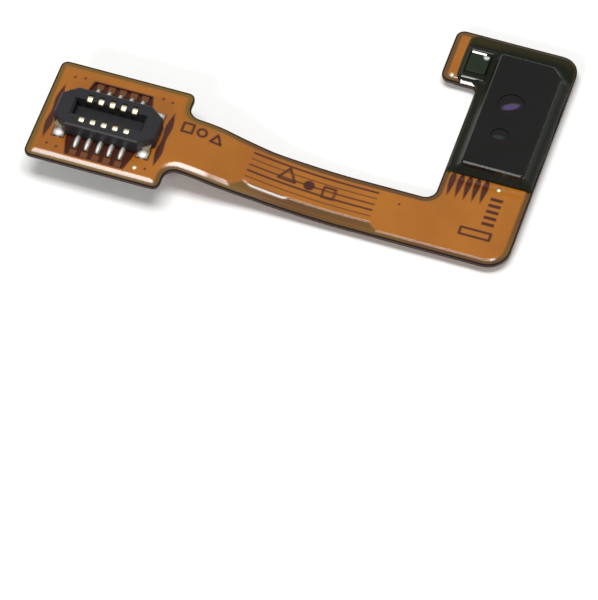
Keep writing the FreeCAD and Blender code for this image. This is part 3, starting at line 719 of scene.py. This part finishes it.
def clip_corners():
    """Openings in the cover film over the hold-down clips' feet."""
    half = 0.24
    openings = []
    for side_x, side_y in CORNERS:
        x = HOUSING[0] + side_x * 1.5
        low, high = sorted([Y_ROWS + side_y * 0.58, Y_ROWS + side_y * 1.02])
        openings.append(rectangle(x - half, x + half, low, high))
    return openings


def via_places():
    """Two vias near each corner of the pad."""
    places = []
    for side_x, side_y in CORNERS:
        for from_x, from_y in ((1.4, 1.5), (1.75, 1.45)):
            places.append((HOUSING[0] + side_x * from_x, Y_RIBBON + side_y * from_y))
    return places


def plain_marks(x, y):
    """Plain assembly marks etched in the copper: a square, a ring and a triangle on the neck, a triangle, a
    disc and a square over the slots, and a short row of bars and a box at the corner."""
    line = 0.1
    ring_hole = 0.1
    disc = 0.2
    neck = Y_RIBBON + 0.62
    slots = Y_RIBBON + 0.2
    outlines = [
        rectangle(-3.52, -3.16, neck - 0.18, neck + 0.18),
        [(-2.48, neck - 0.22), (-2.12, neck - 0.22), (-2.3, neck + 0.12)],
        [(0.02, slots - 0.1), (0.62, slots - 0.1), (0.32, slots + 0.4)],
        rectangle(1.62, 2.02, slots - 0.3, slots + 0.12),
        rectangle(6.45, 7.5, -3.1, -2.82),
    ]
    bars = [rectangle(7.05, 7.5, -1.5 - 0.26 * i, -1.36 - 0.26 * i) for i in range(5)]
    from_ring = np.hypot(x + 2.83, y - neck + 0.02)
    marks = [np.abs(from_outline(shape, x, y)) - line / 2 for shape in outlines]
    marks.append(nearest(bars, x, y))
    marks.append(np.maximum(ring_hole - from_ring, from_ring - (ring_hole + line)))
    marks.append(np.hypot(x - 1.1, y - slots + 0.02) - disc)
    return np.minimum.reduce(marks)


def front_gaps(x, y):
    """Signed distance from the narrow gaps etched in the front copper, negative inside a gap. A side window's
    half width is the root of 1 - t^2 with a waist, and a finger's is root t times (1 - t), with t from 0 to 1
    along each."""
    side_length = 1.18
    side_half = 0.145
    finger_length = 1.06
    finger_half = 0.34
    gaps = [plain_marks(x, y)]
    for side in (-1, 1):
        gaps.append(from_outline(window_corners(side, 0), x, y))
        along = (y - Y_ROWS) / side_length
        waist = 0.78 - 0.22 * np.cos(2 * np.pi * along)
        half = side_half * np.sqrt(np.clip(1 - along ** 2, 0, 1)) * waist
        gaps.append(np.abs(x - HOUSING[0] - side * 1.97) - half)
    for i, half in enumerate(SLOT_HALVES):
        at = Y_RIBBON + 0.175 + 0.2475 * (i - 2)
        gaps.append(from_outline(rectangle(SLOT_START, SLOT_END, at - half, at + half), x, y))
    along = np.clip((Y_SENSOR + 0.04 - y) / finger_length, 0, 1)
    half = finger_half * np.sqrt(along) * (1 - along) * (1 - 0.35 * along)
    for i in range(5):
        gaps.append(np.abs(x - X_STEM - FINGER_START - FINGER_PITCH * i) - half + 0.02 * (half <= 0))
    for via_x, via_y in via_places():
        gaps.append(np.hypot(x - via_x, y - via_y) - 0.055)
    gaps.append(np.hypot(x - 4.2, y + 2.6) - 0.05)
    return np.minimum.reduce(gaps)


def front_copper(x, y, outline):
    """Signed distance from the front copper's outer edge, negative on copper. Along the slots a long notch
    makes the bare margin wider."""
    beyond = RIBBON_NEAR - 1
    slant = 0.35
    inner = RIBBON_NEAR + WIDE_MARGIN
    start = RIBBON_NEAR + MARGIN
    notch = [
        (SLOT_START - slant, beyond), (SLOT_END + slant, beyond), (SLOT_END + slant, start),
        (SLOT_END, inner), (SLOT_START, inner), (SLOT_START - slant, start),
    ]
    return np.maximum(outline + MARGIN, -from_outline(notch, x, y))


def turned_band(far, left, inner_radius, near, right, outer_radius):
    """Plan band along the ribbon that turns up the stem."""
    start = X_PAD - 0.8
    end = Y_SENSOR + 0.6
    return rounded_loop([
        (start, near, 0), (right, near, outer_radius), (right, end, 0),
        (left, end, 0), (left, far, inner_radius), (start, far, 0),
    ])


def back_copper(x, y, outline):
    """Signed distance from the back copper's edge, negative on copper, and from the corridor of traces: one
    wide and four fine ones that turn the corner side by side."""
    far = RIBBON_FAR - 0.57
    left = X_STEM + 0.75
    radius = 0.8
    gap = 0.07
    lanes = [(gap, gap, 0.18)] + [(0.32 + 0.19 * i, 0.32 + 0.145 * i, 0.09) for i in range(4)]

    def lane(out, along, width):
        start = far - out, left + along, radius + out
        return turned_band(*start, start[0] - width, start[1] + width, start[2] + width)

    out, along, width = lanes[-1]
    reach = width + gap
    corridor = turned_band(
        far, left, radius, far - out - reach, left + along + reach, radius + out + reach
    )
    in_corridor = from_outline(corridor, x, y)
    gaps = [rectangle(X_STEM + MARGIN, X_RIGHT, Y_SENSOR - 0.2, Y_SENSOR + 0.2)]
    root = 0.075
    tip = 0.04
    end = Y_SENSOR - 1.15
    for place in [left - 0.261] + [X_RIGHT - FINGER_START - FINGER_PITCH * (i + 0.7) for i in range(3)]:
        gaps.append([
            (place - root, Y_SENSOR), (place - tip, end), (place + tip, end), (place + root, Y_SENSOR),
        ])
    ground = np.maximum.reduce([outline + MARGIN, -in_corridor, -nearest(gaps, x, y)])
    return np.minimum(ground, nearest([lane(*row) for row in lanes], x, y)), in_corridor


def film_lines(step, x_zones, y_zones):
    """Grid lines over the whole film, closer along its edges."""
    reach = 0.3
    fine = 0.04
    over = 0.05
    edges_x = near_edges([X_LEFT, X_PAD, X_TAB, X_STEM, X_RIGHT], reach, fine)
    edges_y = near_edges([Y_NEAR, RIBBON_NEAR, RIBBON_FAR, Y_NEAR + PAD_WIDTH, Y_TAB, Y_FAR], reach, fine)
    xs = grid_lines(X_LEFT - over, X_RIGHT + over, step, edges_x + x_zones)
    ys = grid_lines(Y_NEAR - over, Y_FAR + over, step, edges_y + y_zones)
    return xs, ys


class CABLE_OT_film(bpy.types.Operator):
    """Cover films and base film, draped over the etched copper and turned down at their free edges"""

    bl_idname = "cable.film"
    bl_label = "Film"

    def execute(self, context):
        film = context.scene.cable_film
        self.front(film)
        self.base(film)
        self.back(film)
        return {"FINISHED"}

    def front(self, film):
        """Height: the level over copper, less the copper's thickness past its edge, less a shallow dip in
        each gap, less the drop of the free edge."""
        lap = 0.05
        gap_slope = 0.06
        openings = [window_corners(side, lap) for side in (-1, 1)] + clip_corners()

        def domain(x, y):
            return np.maximum(in_film(x, y), -nearest(openings, x, y))

        # Closer lines under the marks of the pad, the neck and the corner, and along both sides of the notch
        fine_x = [(X_LEFT + 0.3, X_PAD - 0.2, 0.045), (-3.5, -2.0, 0.035), (X_STEM + 0.2, 7.6, 0.035)]
        fine_y = [(-4.8, -1.2, 0.045), (-3.46, -2.1, 0.026)]
        fine_y += near_edges([RIBBON_NEAR + MARGIN, RIBBON_NEAR + WIDE_MARGIN], 0.05, 0.014)
        x, y, cells = fitted_grid(*film_lines(0.065, fine_x, fine_y), domain)
        outline = in_film(x, y)
        edge = front_copper(x, y, outline)
        gaps = front_gaps(x, y)
        covered = draped(edge, x, film)
        sunk = film.gap_dip / MM * smooth(0.5 - gaps / gap_slope)
        drop = edge_drop(outline, x, film)
        top = bent(x, FILM_TOP - COPPER * (1 - covered) - sunk - drop)
        bottom = bent(x, BASE_HIGH + COPPER * covered - sunk - drop)
        past = outline + MARGIN
        masks = {"etched": -gaps, "bare": np.where(past > 0, past, np.minimum(edge, 0.1))}
        shape = closed_shell(x, y, cells, top, bottom)
        material = coverlay_material("polyimide_coverlay", film, film.amber, film.brown)
        make_piece("front_cover_film", shape, material, ["front_coverlay"], masks)

    def base(self, film):
        """An even sheet between the two coppers."""
        x, y, cells = fitted_grid(*film_lines(0.11, [], []), in_film)
        drop = edge_drop(in_film(x, y), x, film)
        shape = closed_shell(x, y, cells, bent(x, BASE_HIGH - drop), bent(x, BASE_LOW - drop))
        material = plain_film_material("cast_polyimide", film.gap)
        make_piece("base_film_sheet", shape, material, ["base_film"])

    def back(self, film):
        """The front's relief turned over: past the ground copper the cover rises by the copper's thickness,
        and between traces by a shallow dip."""
        gap_slope = 0.08
        x, y, cells = fitted_grid(*film_lines(0.06, [(5.4, 8.1, 0.035)], [(-3.75, -2.5, 0.03)]), in_film)
        outline = in_film(x, y)
        past = outline + MARGIN
        edge, corridor = back_copper(x, y, outline)
        between = film.gap_dip / MM * smooth(0.5 + edge / gap_slope)
        sunk = np.maximum(COPPER * (1 - draped(past, x, film)), between)
        drop = edge_drop(outline, x, film)
        shape = closed_shell(x, y, cells, bent(x, BASE_LOW - COPPER + sunk - drop), bent(x, sunk - drop))
        etched = np.where(past > -0.05, -1, edge)
        masks = {"etched": etched, "bare": past, "band": np.clip(-corridor, -1, 1)}
        tints = film.back_amber, film.back_brown, film.back_band
        material = coverlay_material("polyimide_back_cover", film, *tints)
        make_piece("back_cover_film", shape, material, ["back_coverlay"], masks)


class CABLE_OT_copper(bpy.types.Operator):
    """Etched copper, its vias, and the plated pads that show in the openings"""

    bl_idname = "cable.copper"
    bl_label = "Copper"

    def execute(self, context):
        metal = context.scene.cable_metal
        # Electrodeposited copper, etched: salmon pink, satin.
        etched = metal_material("etched_copper", metal.copper, 0.35, 0.08, 0.002)
        finish(etched, "front_copper", "back_copper", "plated_vias")
        # Bare copper pads under a skin of flux: dull and tan beside the bright solder.
        finish(metal_material("fluxed_copper", metal.flux, 0.5, 0.08, 0.002), "contact_pads")
        # Immersion tin: a soft pale grey.
        finish(metal_material("tin_plate", metal.tin, 0.5, 0.1, 0.0004), "sensor_solder")
        self.dots(metal)
        return {"FINISHED"}

    def dots(self, metal):
        """Test points, one low dome each. Immersion gold: a small warm gleam."""
        height = 0.07
        sunk = 0.03
        radius = metal.dot_radius / MM
        right = span("test_points")[1][0] - 0.09
        places = [
            (HOUSING[0] + 1.4, Y_RIBBON - 1.5, PAD_TOP),
            (right, Y_SENSOR - 0.2, SENSOR_TOP),
            (X_TAB + 0.37, Y_TAB + 0.25, SENSOR_TOP),
        ]
        domes = [dome(x, y, level - sunk, radius, radius, height) for x, y, level in places]
        gold = metal_material("gold_flash", metal.gold, 0.5, 0.1, 0.0004)
        make_piece("test_point_pads", joined(domes), gold, ["test_points"])


class CABLE_OT_plates(bpy.types.Operator):
    """Stainless stiffening plates and the adhesive that bonds them"""

    bl_idname = "cable.plates"
    bl_label = "Plates"

    def execute(self, context):
        steel = brushed_material("brushed_stainless_steel", context.scene.cable_metal.steel, 0.42)
        finish(steel, "connector_plate", "sensor_plate")
        # Acrylic transfer adhesive, pressed: a thin dull line under the film.
        glue = moulded_material("acrylic_adhesive", linear("3A3128"), 0.5)
        finish(glue, "connector_plate_adhesive", "sensor_plate_adhesive")
        return {"FINISHED"}


class CABLE_OT_connector(bpy.types.Operator):
    """Connector: housing, ten folded contacts, hold-down clips and their solder"""

    bl_idname = "cable.connector"
    bl_label = "Connector"

    def execute(self, context):
        metal = context.scene.cable_metal
        connector = context.scene.cable_connector
        # Glass-filled liquid crystal polymer, injection moulded: dull charcoal with a slightly silky skin.
        finish(moulded_material("moulded_lcp", connector.moulding, 0.42), "connector_housing")
        # Stamped brass, tinned and stained by flux: a dull warm grey.
        clips = metal_material("tinned_brass", metal.brass, 0.5, 0.3, 0.0001)
        finish(clips, "hold_down_left", "hold_down_right")
        # Gold on the heads, and painted shade on the legs below a level.
        gold = gold_material("gold_plate", metal.gold, metal.leg_shade, PAD_TOP + 0.53)
        for node in CONTACTS:
            self.contact(node, connector, gold)
        self.solder(connector, metal)
        return {"FINISHED"}

    def contact(self, node, connector, gold):
        """The strip's path: up inside the wall, over it, down outside and out to the tail, with a round at
        each fold."""
        inside = 0.36
        outside = 0.56
        start = 0.36
        top = 0.56
        tail = 1.3
        fold = connector.fold_radius / MM
        foot = connector.foot_radius / MM
        x, y = middle(node)[:2]
        side = side_of(y)
        path = rounded_path([
            (inside, start, 0), (inside, top, fold), (outside, top, fold), (outside, 0, foot), (tail, 0, 0),
        ])
        heading = unit(np.gradient(path, axis=0))
        zero = np.zeros(len(path))
        centres = np.stack([zero + x, Y_ROWS + side * path[:, 0], PAD_TOP + path[:, 1]], 1)
        normals = np.stack([zero, -side * heading[:, 1], heading[:, 0]], 1)
        strip = swept(centres, np.array([-side, 0.0, 0.0]), normals, half_width=0.112, half_thickness=0.04)
        make_piece(node + "_strip", strip, gold, [node])

    def solder(self, connector, metal):
        """Long mounds over the tails, and short ones over the clips' feet. Reflowed solder: silver, with the
        brightest glints of the pad."""
        bright = metal_material("bright_solder", metal.tin, 0.62, 0.3, 0.0001)
        low = PAD_TOP - COVER
        height = COVER + connector.solder_height / MM
        tails = []
        for node in CONTACTS:
            x, y = middle(node)[:2]
            tails.append(dome(x, Y_ROWS + side_of(y) * 1.0, low, 0.085, 0.3, height, power=3.5))
        make_piece("tail_solder", joined(tails), bright, ["contact_solder"])
        feet = []
        for opening in clip_corners():
            x, y = np.array(opening)[:, :2].mean(0)
            feet.append(dome(x, Y_ROWS + side_of(y) * 0.82, low, 0.2, 0.17, COVER + 0.12, power=3.0))
        make_piece("clip_solder", joined(feet), bright, ["hold_down_solder"])


class CABLE_OT_sensor(bpy.types.Operator):
    """Optical sensor: cap, apertures and what shows in them"""

    bl_idname = "cable.sensor"
    bl_label = "Sensor"

    def execute(self, context):
        sensor = context.scene.cable_sensor
        # Black epoxy, transfer moulded: near black, satin, with a bright line on its edge.
        self.cap(sensor, moulded_material("black_epoxy", sensor.cap, 0.26, gloss=0.3))
        # Glass cloth and epoxy, pressed: dull dark green.
        finish(moulded_material("fibreglass_laminate", linear("2E3A2A"), 0.4), "sensor_substrate")
        # Silicon, polished: a dark grey mirror.
        silicon = metal_material("polished_silicon", linear("55525C"), 0.15, 0.1, 0.0005)
        finish(silicon, "emitter_die", "detector_die")
        level = CAP_HIGH[2] - 0.03
        # Painted glints: one oval on each window, the reflection off the silicon under it.
        at = EMITTER[0] - 0.02, EMITTER[1] - 0.02, level
        emitter_glint = epoxy_die_and_glint("emitter_epoxy", at, (0.2, 0.08), 0.1, sensor.window, sensor.emitter_glint)
        at = DETECTOR[0], DETECTOR[1] - 0.03, level
        detector_glint = epoxy_die_and_glint("detector_epoxy", at, (0.31, 0.13), 0.5, sensor.window, sensor.detector_glint)
        finish(emitter_glint, "emitter_window")
        finish(detector_glint, "detector_window")
        return {"FINISHED"}

    def cap(self, sensor, material):
        """The moulded cap as a slab with a bevel round its top, whose underside is cut up to the roof over
        each chamber."""
        wall = 0.15
        roof = 0.15
        half_divider = 0.1
        bevel = sensor.edge_bevel / MM
        plan = cap_loop()

        def domain(x, y):
            inside = from_outline(plan, x, y)
            for place, radius in ((EMITTER, EMITTER_HOLE), (DETECTOR, DETECTOR_HOLE)):
                inside = np.maximum(inside, radius - np.hypot(x - place[0], y - place[1]))
            return inside

        lines = []
        for low, high in zip(CAP_LOW[:2], CAP_HIGH[:2]):
            even = grid_lines(low - 0.02, high + 0.02, 0.05, near_edges([low, high], 0.12, 0.016))
            lines.append(np.sort(np.append(even, [low + bevel, high - bevel])))
        x, y, cells = fitted_grid(*lines, domain)
        top = CAP_HIGH[2] - np.clip(bevel + from_outline(plan, x, y), 0, bevel)
        from_divider = np.abs(y - (EMITTER[1] + DETECTOR[1]) / 2)
        chambers = np.maximum(from_outline(cap_loop(-wall), x, y), half_divider - from_divider)
        bottom = np.where(chambers < 0, CAP_HIGH[2] - roof, CAP_LOW[2])
        shape = closed_shell(x, y, cells, top, bottom)
        make_piece("sensor_cap_moulding", shape, material, ["sensor_cap"], sharp=25)


class CABLE_OT_indicator(bpy.types.Operator):
    """Indicator light: laminate base, wrapped terminals and moulded lens"""

    bl_idname = "cable.indicator"
    bl_label = "Indicator"

    def execute(self, context):
        sensor = context.scene.cable_sensor
        # Glass cloth and white resin, pressed: matt and pale.
        finish(moulded_material("white_laminate", linear("B9B7A8"), 0.4), "indicator_base")
        # Moulded epoxy lens, tinted: dark green and wet, with the pale die showing near its far corner.
        die = (LENS_LOW[0] + 0.62, LENS_LOW[1] + 0.74, LENS_HIGH[2])
        lens = epoxy_die_and_glint("tinted_epoxy_lens", die, (0.1, 0.1), 0.0, sensor.lens, sensor.die)
        finish(lens, "indicator_lens")
        # Tinned copper: the two bright lines at the lens's ends.
        bright = metal_material("tin_terminals", context.scene.cable_metal.tin, 0.45, 0.2, 0.0003)
        finish(bright, "indicator_terminals", "indicator_solder")
        # Sapphire chip with its metal contacts: a small pale square.
        finish(metal_material("sapphire_die", linear("C9CBC2"), 0.2, 0.1, 0.0005), "indicator_die")
        self.terminal_edge(bright)
        return {"FINISHED"}

    def terminal_edge(self, bright):
        """The far terminal's top edge, a thin tinned strip along the lens."""
        steps = 12
        across = np.linspace(LENS_LOW[0] + 0.08, LENS_LOW[0] + 0.58, steps)
        behind = np.full(steps, LENS_HIGH[1] + 0.01)
        level = np.full(steps, LENS_HIGH[2] - 0.02)
        normals = np.tile([0.0, -0.35, 0.94], (steps, 1))
        strip = swept(np.stack([across, behind, level], 1), np.array([0.0, 0.94, 0.35]), normals, 0.04, 0.02)
        make_piece("far_terminal_edge", strip, bright, [])


def resin_loop():
    """Plan outline of the resin."""
    tab = X_TAB + 0.5
    left = X_STEM + 0.02
    right = X_RIGHT - 0.02
    near = Y_SENSOR - 0.01
    far = Y_FAR - 0.06
    tab_near = Y_TAB + 0.06
    return rounded_loop([
        (left, near, 0.1), (right, near, 0.1), (right, far, FAR_CORNER), (tab, far, 0.3),
        (tab, tab_near, 0.3), (left, tab_near, TAB_FILLET),
    ])


def cap_loop(margin=0.0):
    """Plan outline of the sensor cap: rounded corners, the far right one cut off."""
    corner = 0.12
    cut = 0.35
    cut_corner = 0.05
    return rounded_loop([
        (CAP_LOW[0] - margin, CAP_LOW[1] - margin, corner),
        (CAP_HIGH[0] + margin, CAP_LOW[1] - margin, corner),
        (CAP_HIGH[0] + margin, CAP_HIGH[1] - cut, cut_corner),
        (CAP_HIGH[0] - cut, CAP_HIGH[1] + margin, cut_corner),
        (CAP_LOW[0] - margin, CAP_HIGH[1] + margin, corner),
    ])


class CABLE_OT_resin(bpy.types.Operator):
    """Dark sealing resin poured round the sensor and the light"""

    bl_idname = "cable.resin"
    bl_label = "Resin"

    def execute(self, context):
        """Height: the film's, half levelled out, plus an even coat that is rounded off at its edge, plus a
        climb that dies away from the cap and the light as e^(-distance / reach). The edge wanders a
        little."""
        sensor = context.scene.cable_sensor
        film = context.scene.cable_film
        edge_round = 0.12
        terminal = 0.06
        resin = resin_loop()
        cap = cap_loop()
        near = TERMINAL_LOW[1]
        far = TERMINAL_HIGH[1]
        rows = [(near, far), (near, near + terminal), (LENS_LOW[1], LENS_HIGH[1]), (far - terminal, far)]
        light, *bare = [rectangle(LENS_LOW[0], LENS_HIGH[0], *row) for row in rows]

        def domain(x, y):
            wander = 0.015 * (1 + np.sin(3.1 * x + 0.6) * np.cos(2.3 * y + 0.4))
            return np.maximum(from_outline(resin, x, y) + wander, -nearest([cap] + bare, x, y))

        def climb(shape, height, reach):
            return height * np.exp(-np.clip(from_outline(shape, x, y), 0, None) / reach)

        xs = grid_lines(X_TAB, X_RIGHT, 0.05, [(LENS_LOW[0] - 0.1, LENS_HIGH[0] + 0.1, 0.03)])
        ys = grid_lines(Y_SENSOR - 0.2, Y_FAR, 0.05, [(near - 0.1, far + 0.1, 0.03)])
        x, y, cells = fitted_grid(xs, ys, domain)
        outline = in_film(x, y)
        rounded = np.sqrt(np.clip(-from_outline(resin, x, y) / edge_round, 0, 1))
        rise = np.hypot(climb(cap, sensor.resin_climb / MM, 0.18), climb(light, 0.18, 0.12)) * rounded
        sunk = COPPER * (1 - draped(outline + MARGIN, x, film)) + edge_drop(outline, x, film)
        coat = (sensor.resin_height / MM) * rounded
        top = SENSOR_TOP - sunk * (1 - 0.5 * rounded) + coat + rise
        bottom = SENSOR_TOP - sunk - 0.015
        shape = closed_shell(x, y, cells, np.maximum(top, bottom + 0.005), bottom)
        masks = {"depth": coat + rise + sunk * 0.5 - 0.055}
        material = self.dark_resin(sensor)
        make_piece("sealing_resin_coat", shape, material, ["sealing_resin"], masks)
        return {"FINISHED"}

    def dark_resin(self, sensor):
        """Cured epoxy encapsulant, dispensed by needle: almost black and wet-looking, olive where it is
        thin."""
        material, tree = new_material("black_encapsulant")
        place = add_node(tree, "ShaderNodeTexCoord", output="Object")
        depth = add_node(tree, "ShaderNodeAttribute", output="Fac", attribute_name="depth")
        waves = {"Vector": place, "Scale": 1 / (0.8 * MM), "Detail": 2.0}
        height = add_node(tree, "ShaderNodeTexNoise", waves)
        return surfaced(material, {
            "Base Color": layered(tree, sensor.resin_thin, (depth, -0.03, 0.03, sensor.resin_deep)),
            "Roughness": 0.3, "IOR": 1.5, "Specular IOR Level": 0.08,
            "Normal": add_node(tree, "ShaderNodeBump", {"Height": height, "Distance": 0.02 * MM}),
        })


class CABLE_OT_stage(bpy.types.Operator):
    """Pale floor, soft lamps and the camera at the photograph's angle"""

    bl_idname = "cable.stage"
    bl_label = "Stage"

    def execute(self, context):
        stage = context.scene.cable_stage
        self.floor(stage)
        self.world(stage)
        self.lamp("overhead_softbox", (0, -14, 190), (120, 64), stage.key)
        self.lamp("front_softbox", (-38, -188, 122), (60, 24), stage.front)
        self.camera(stage)
        context.scene.view_settings.view_transform = "Standard"
        return {"FINISHED"}

    def floor(self, stage):
        """Matt white paper, wide enough to fill the view, just under the part."""
        half = 600.0
        points = np.array([(*corner[:2], -0.01) for corner in rectangle(-half, half, -half, half)])
        mesh = bpy.data.meshes.new("floor")
        mesh.from_pydata((points * MM).tolist(), [], [(0, 1, 2, 3)])
        paper = {"Base Color": stage.floor, "Roughness": 0.9, "Specular IOR Level": 0.1}
        mesh.materials.append(surfaced(new_material("pale_paper")[0], paper))
        new_object("floor", mesh)

    def world(self, stage):
        world = bpy.data.worlds.new("even_light")
        world.use_nodes = True
        tree = world.node_tree
        tree.nodes.clear()
        white = add_node(tree, "ShaderNodeBackground", {"Color": (1, 1, 1, 1), "Strength": stage.fill})
        add_node(tree, "ShaderNodeOutputWorld", {"Surface": white})
        bpy.context.scene.world = world

    def lamp(self, name, place, size, power):
        """A rectangular soft lamp at a place in millimetres, turned to the part's middle."""
        light = bpy.data.lights.new(name, "AREA")
        light.shape = "RECTANGLE"
        light.size = size[0] * MM
        light.size_y = size[1] * MM
        light.energy = power
        lamp = new_object(name, light)
        lamp.location = Vector(place) * MM
        lamp.rotation_euler = (-lamp.location).to_track_quat("-Z", "Y").to_euler()

    def camera(self, stage):
        """The camera stands where the photograph's perspective puts it, and the part lies in the upper
        half."""
        target = Vector((2.115, -7.04, 0)) * MM
        data = bpy.data.cameras.new("camera")
        data.lens = stage.lens
        data.sensor_width = 36
        data.clip_start = 0.01
        data.clip_end = 5
        camera = new_object("camera", data)
        camera.location = target + Vector((31.6, -96.0, 147.6)) * MM
        camera.rotation_euler = (target - camera.location).to_track_quat("-Z", "Y").to_euler()
        bpy.context.scene.camera = camera


class CABLE_PT_panel(bpy.types.Panel):
    """Lists the cable's operators"""

    bl_idname = "CABLE_PT_panel"
    bl_label = "Flex cable"
    bl_space_type = "VIEW_3D"
    bl_region_type = "UI"
    bl_category = "Flex cable"

    def draw(self, context):
        for operator in OPERATORS:
            self.layout.operator(operator.bl_idname)


GROUPS = {
    "cable_film": CableFilm,
    "cable_metal": CableMetal,
    "cable_connector": CableConnector,
    "cable_sensor": CableSensor,
    "cable_stage": CableStage,
}

OPERATORS = (
    CABLE_OT_film,
    CABLE_OT_copper,
    CABLE_OT_plates,
    CABLE_OT_connector,
    CABLE_OT_sensor,
    CABLE_OT_indicator,
    CABLE_OT_resin,
    CABLE_OT_stage,
)

CLASSES = (*GROUPS.values(), *OPERATORS, CABLE_PT_panel)


def register():
    for item in CLASSES:
        bpy.utils.register_class(item)
    for name, group in GROUPS.items():
        setattr(bpy.types.Scene, name, bpy.props.PointerProperty(type=group))


def unregister():
    for name in GROUPS:
        delattr(bpy.types.Scene, name)
    for item in reversed(CLASSES):
        bpy.utils.unregister_class(item)


def main():
    register()
    bpy.ops.cable.film()
    bpy.ops.cable.copper()
    bpy.ops.cable.plates()
    bpy.ops.cable.connector()
    bpy.ops.cable.sensor()
    bpy.ops.cable.indicator()
    bpy.ops.cable.resin()
    bpy.ops.cable.stage()


if __name__ == "__main__":
    main()
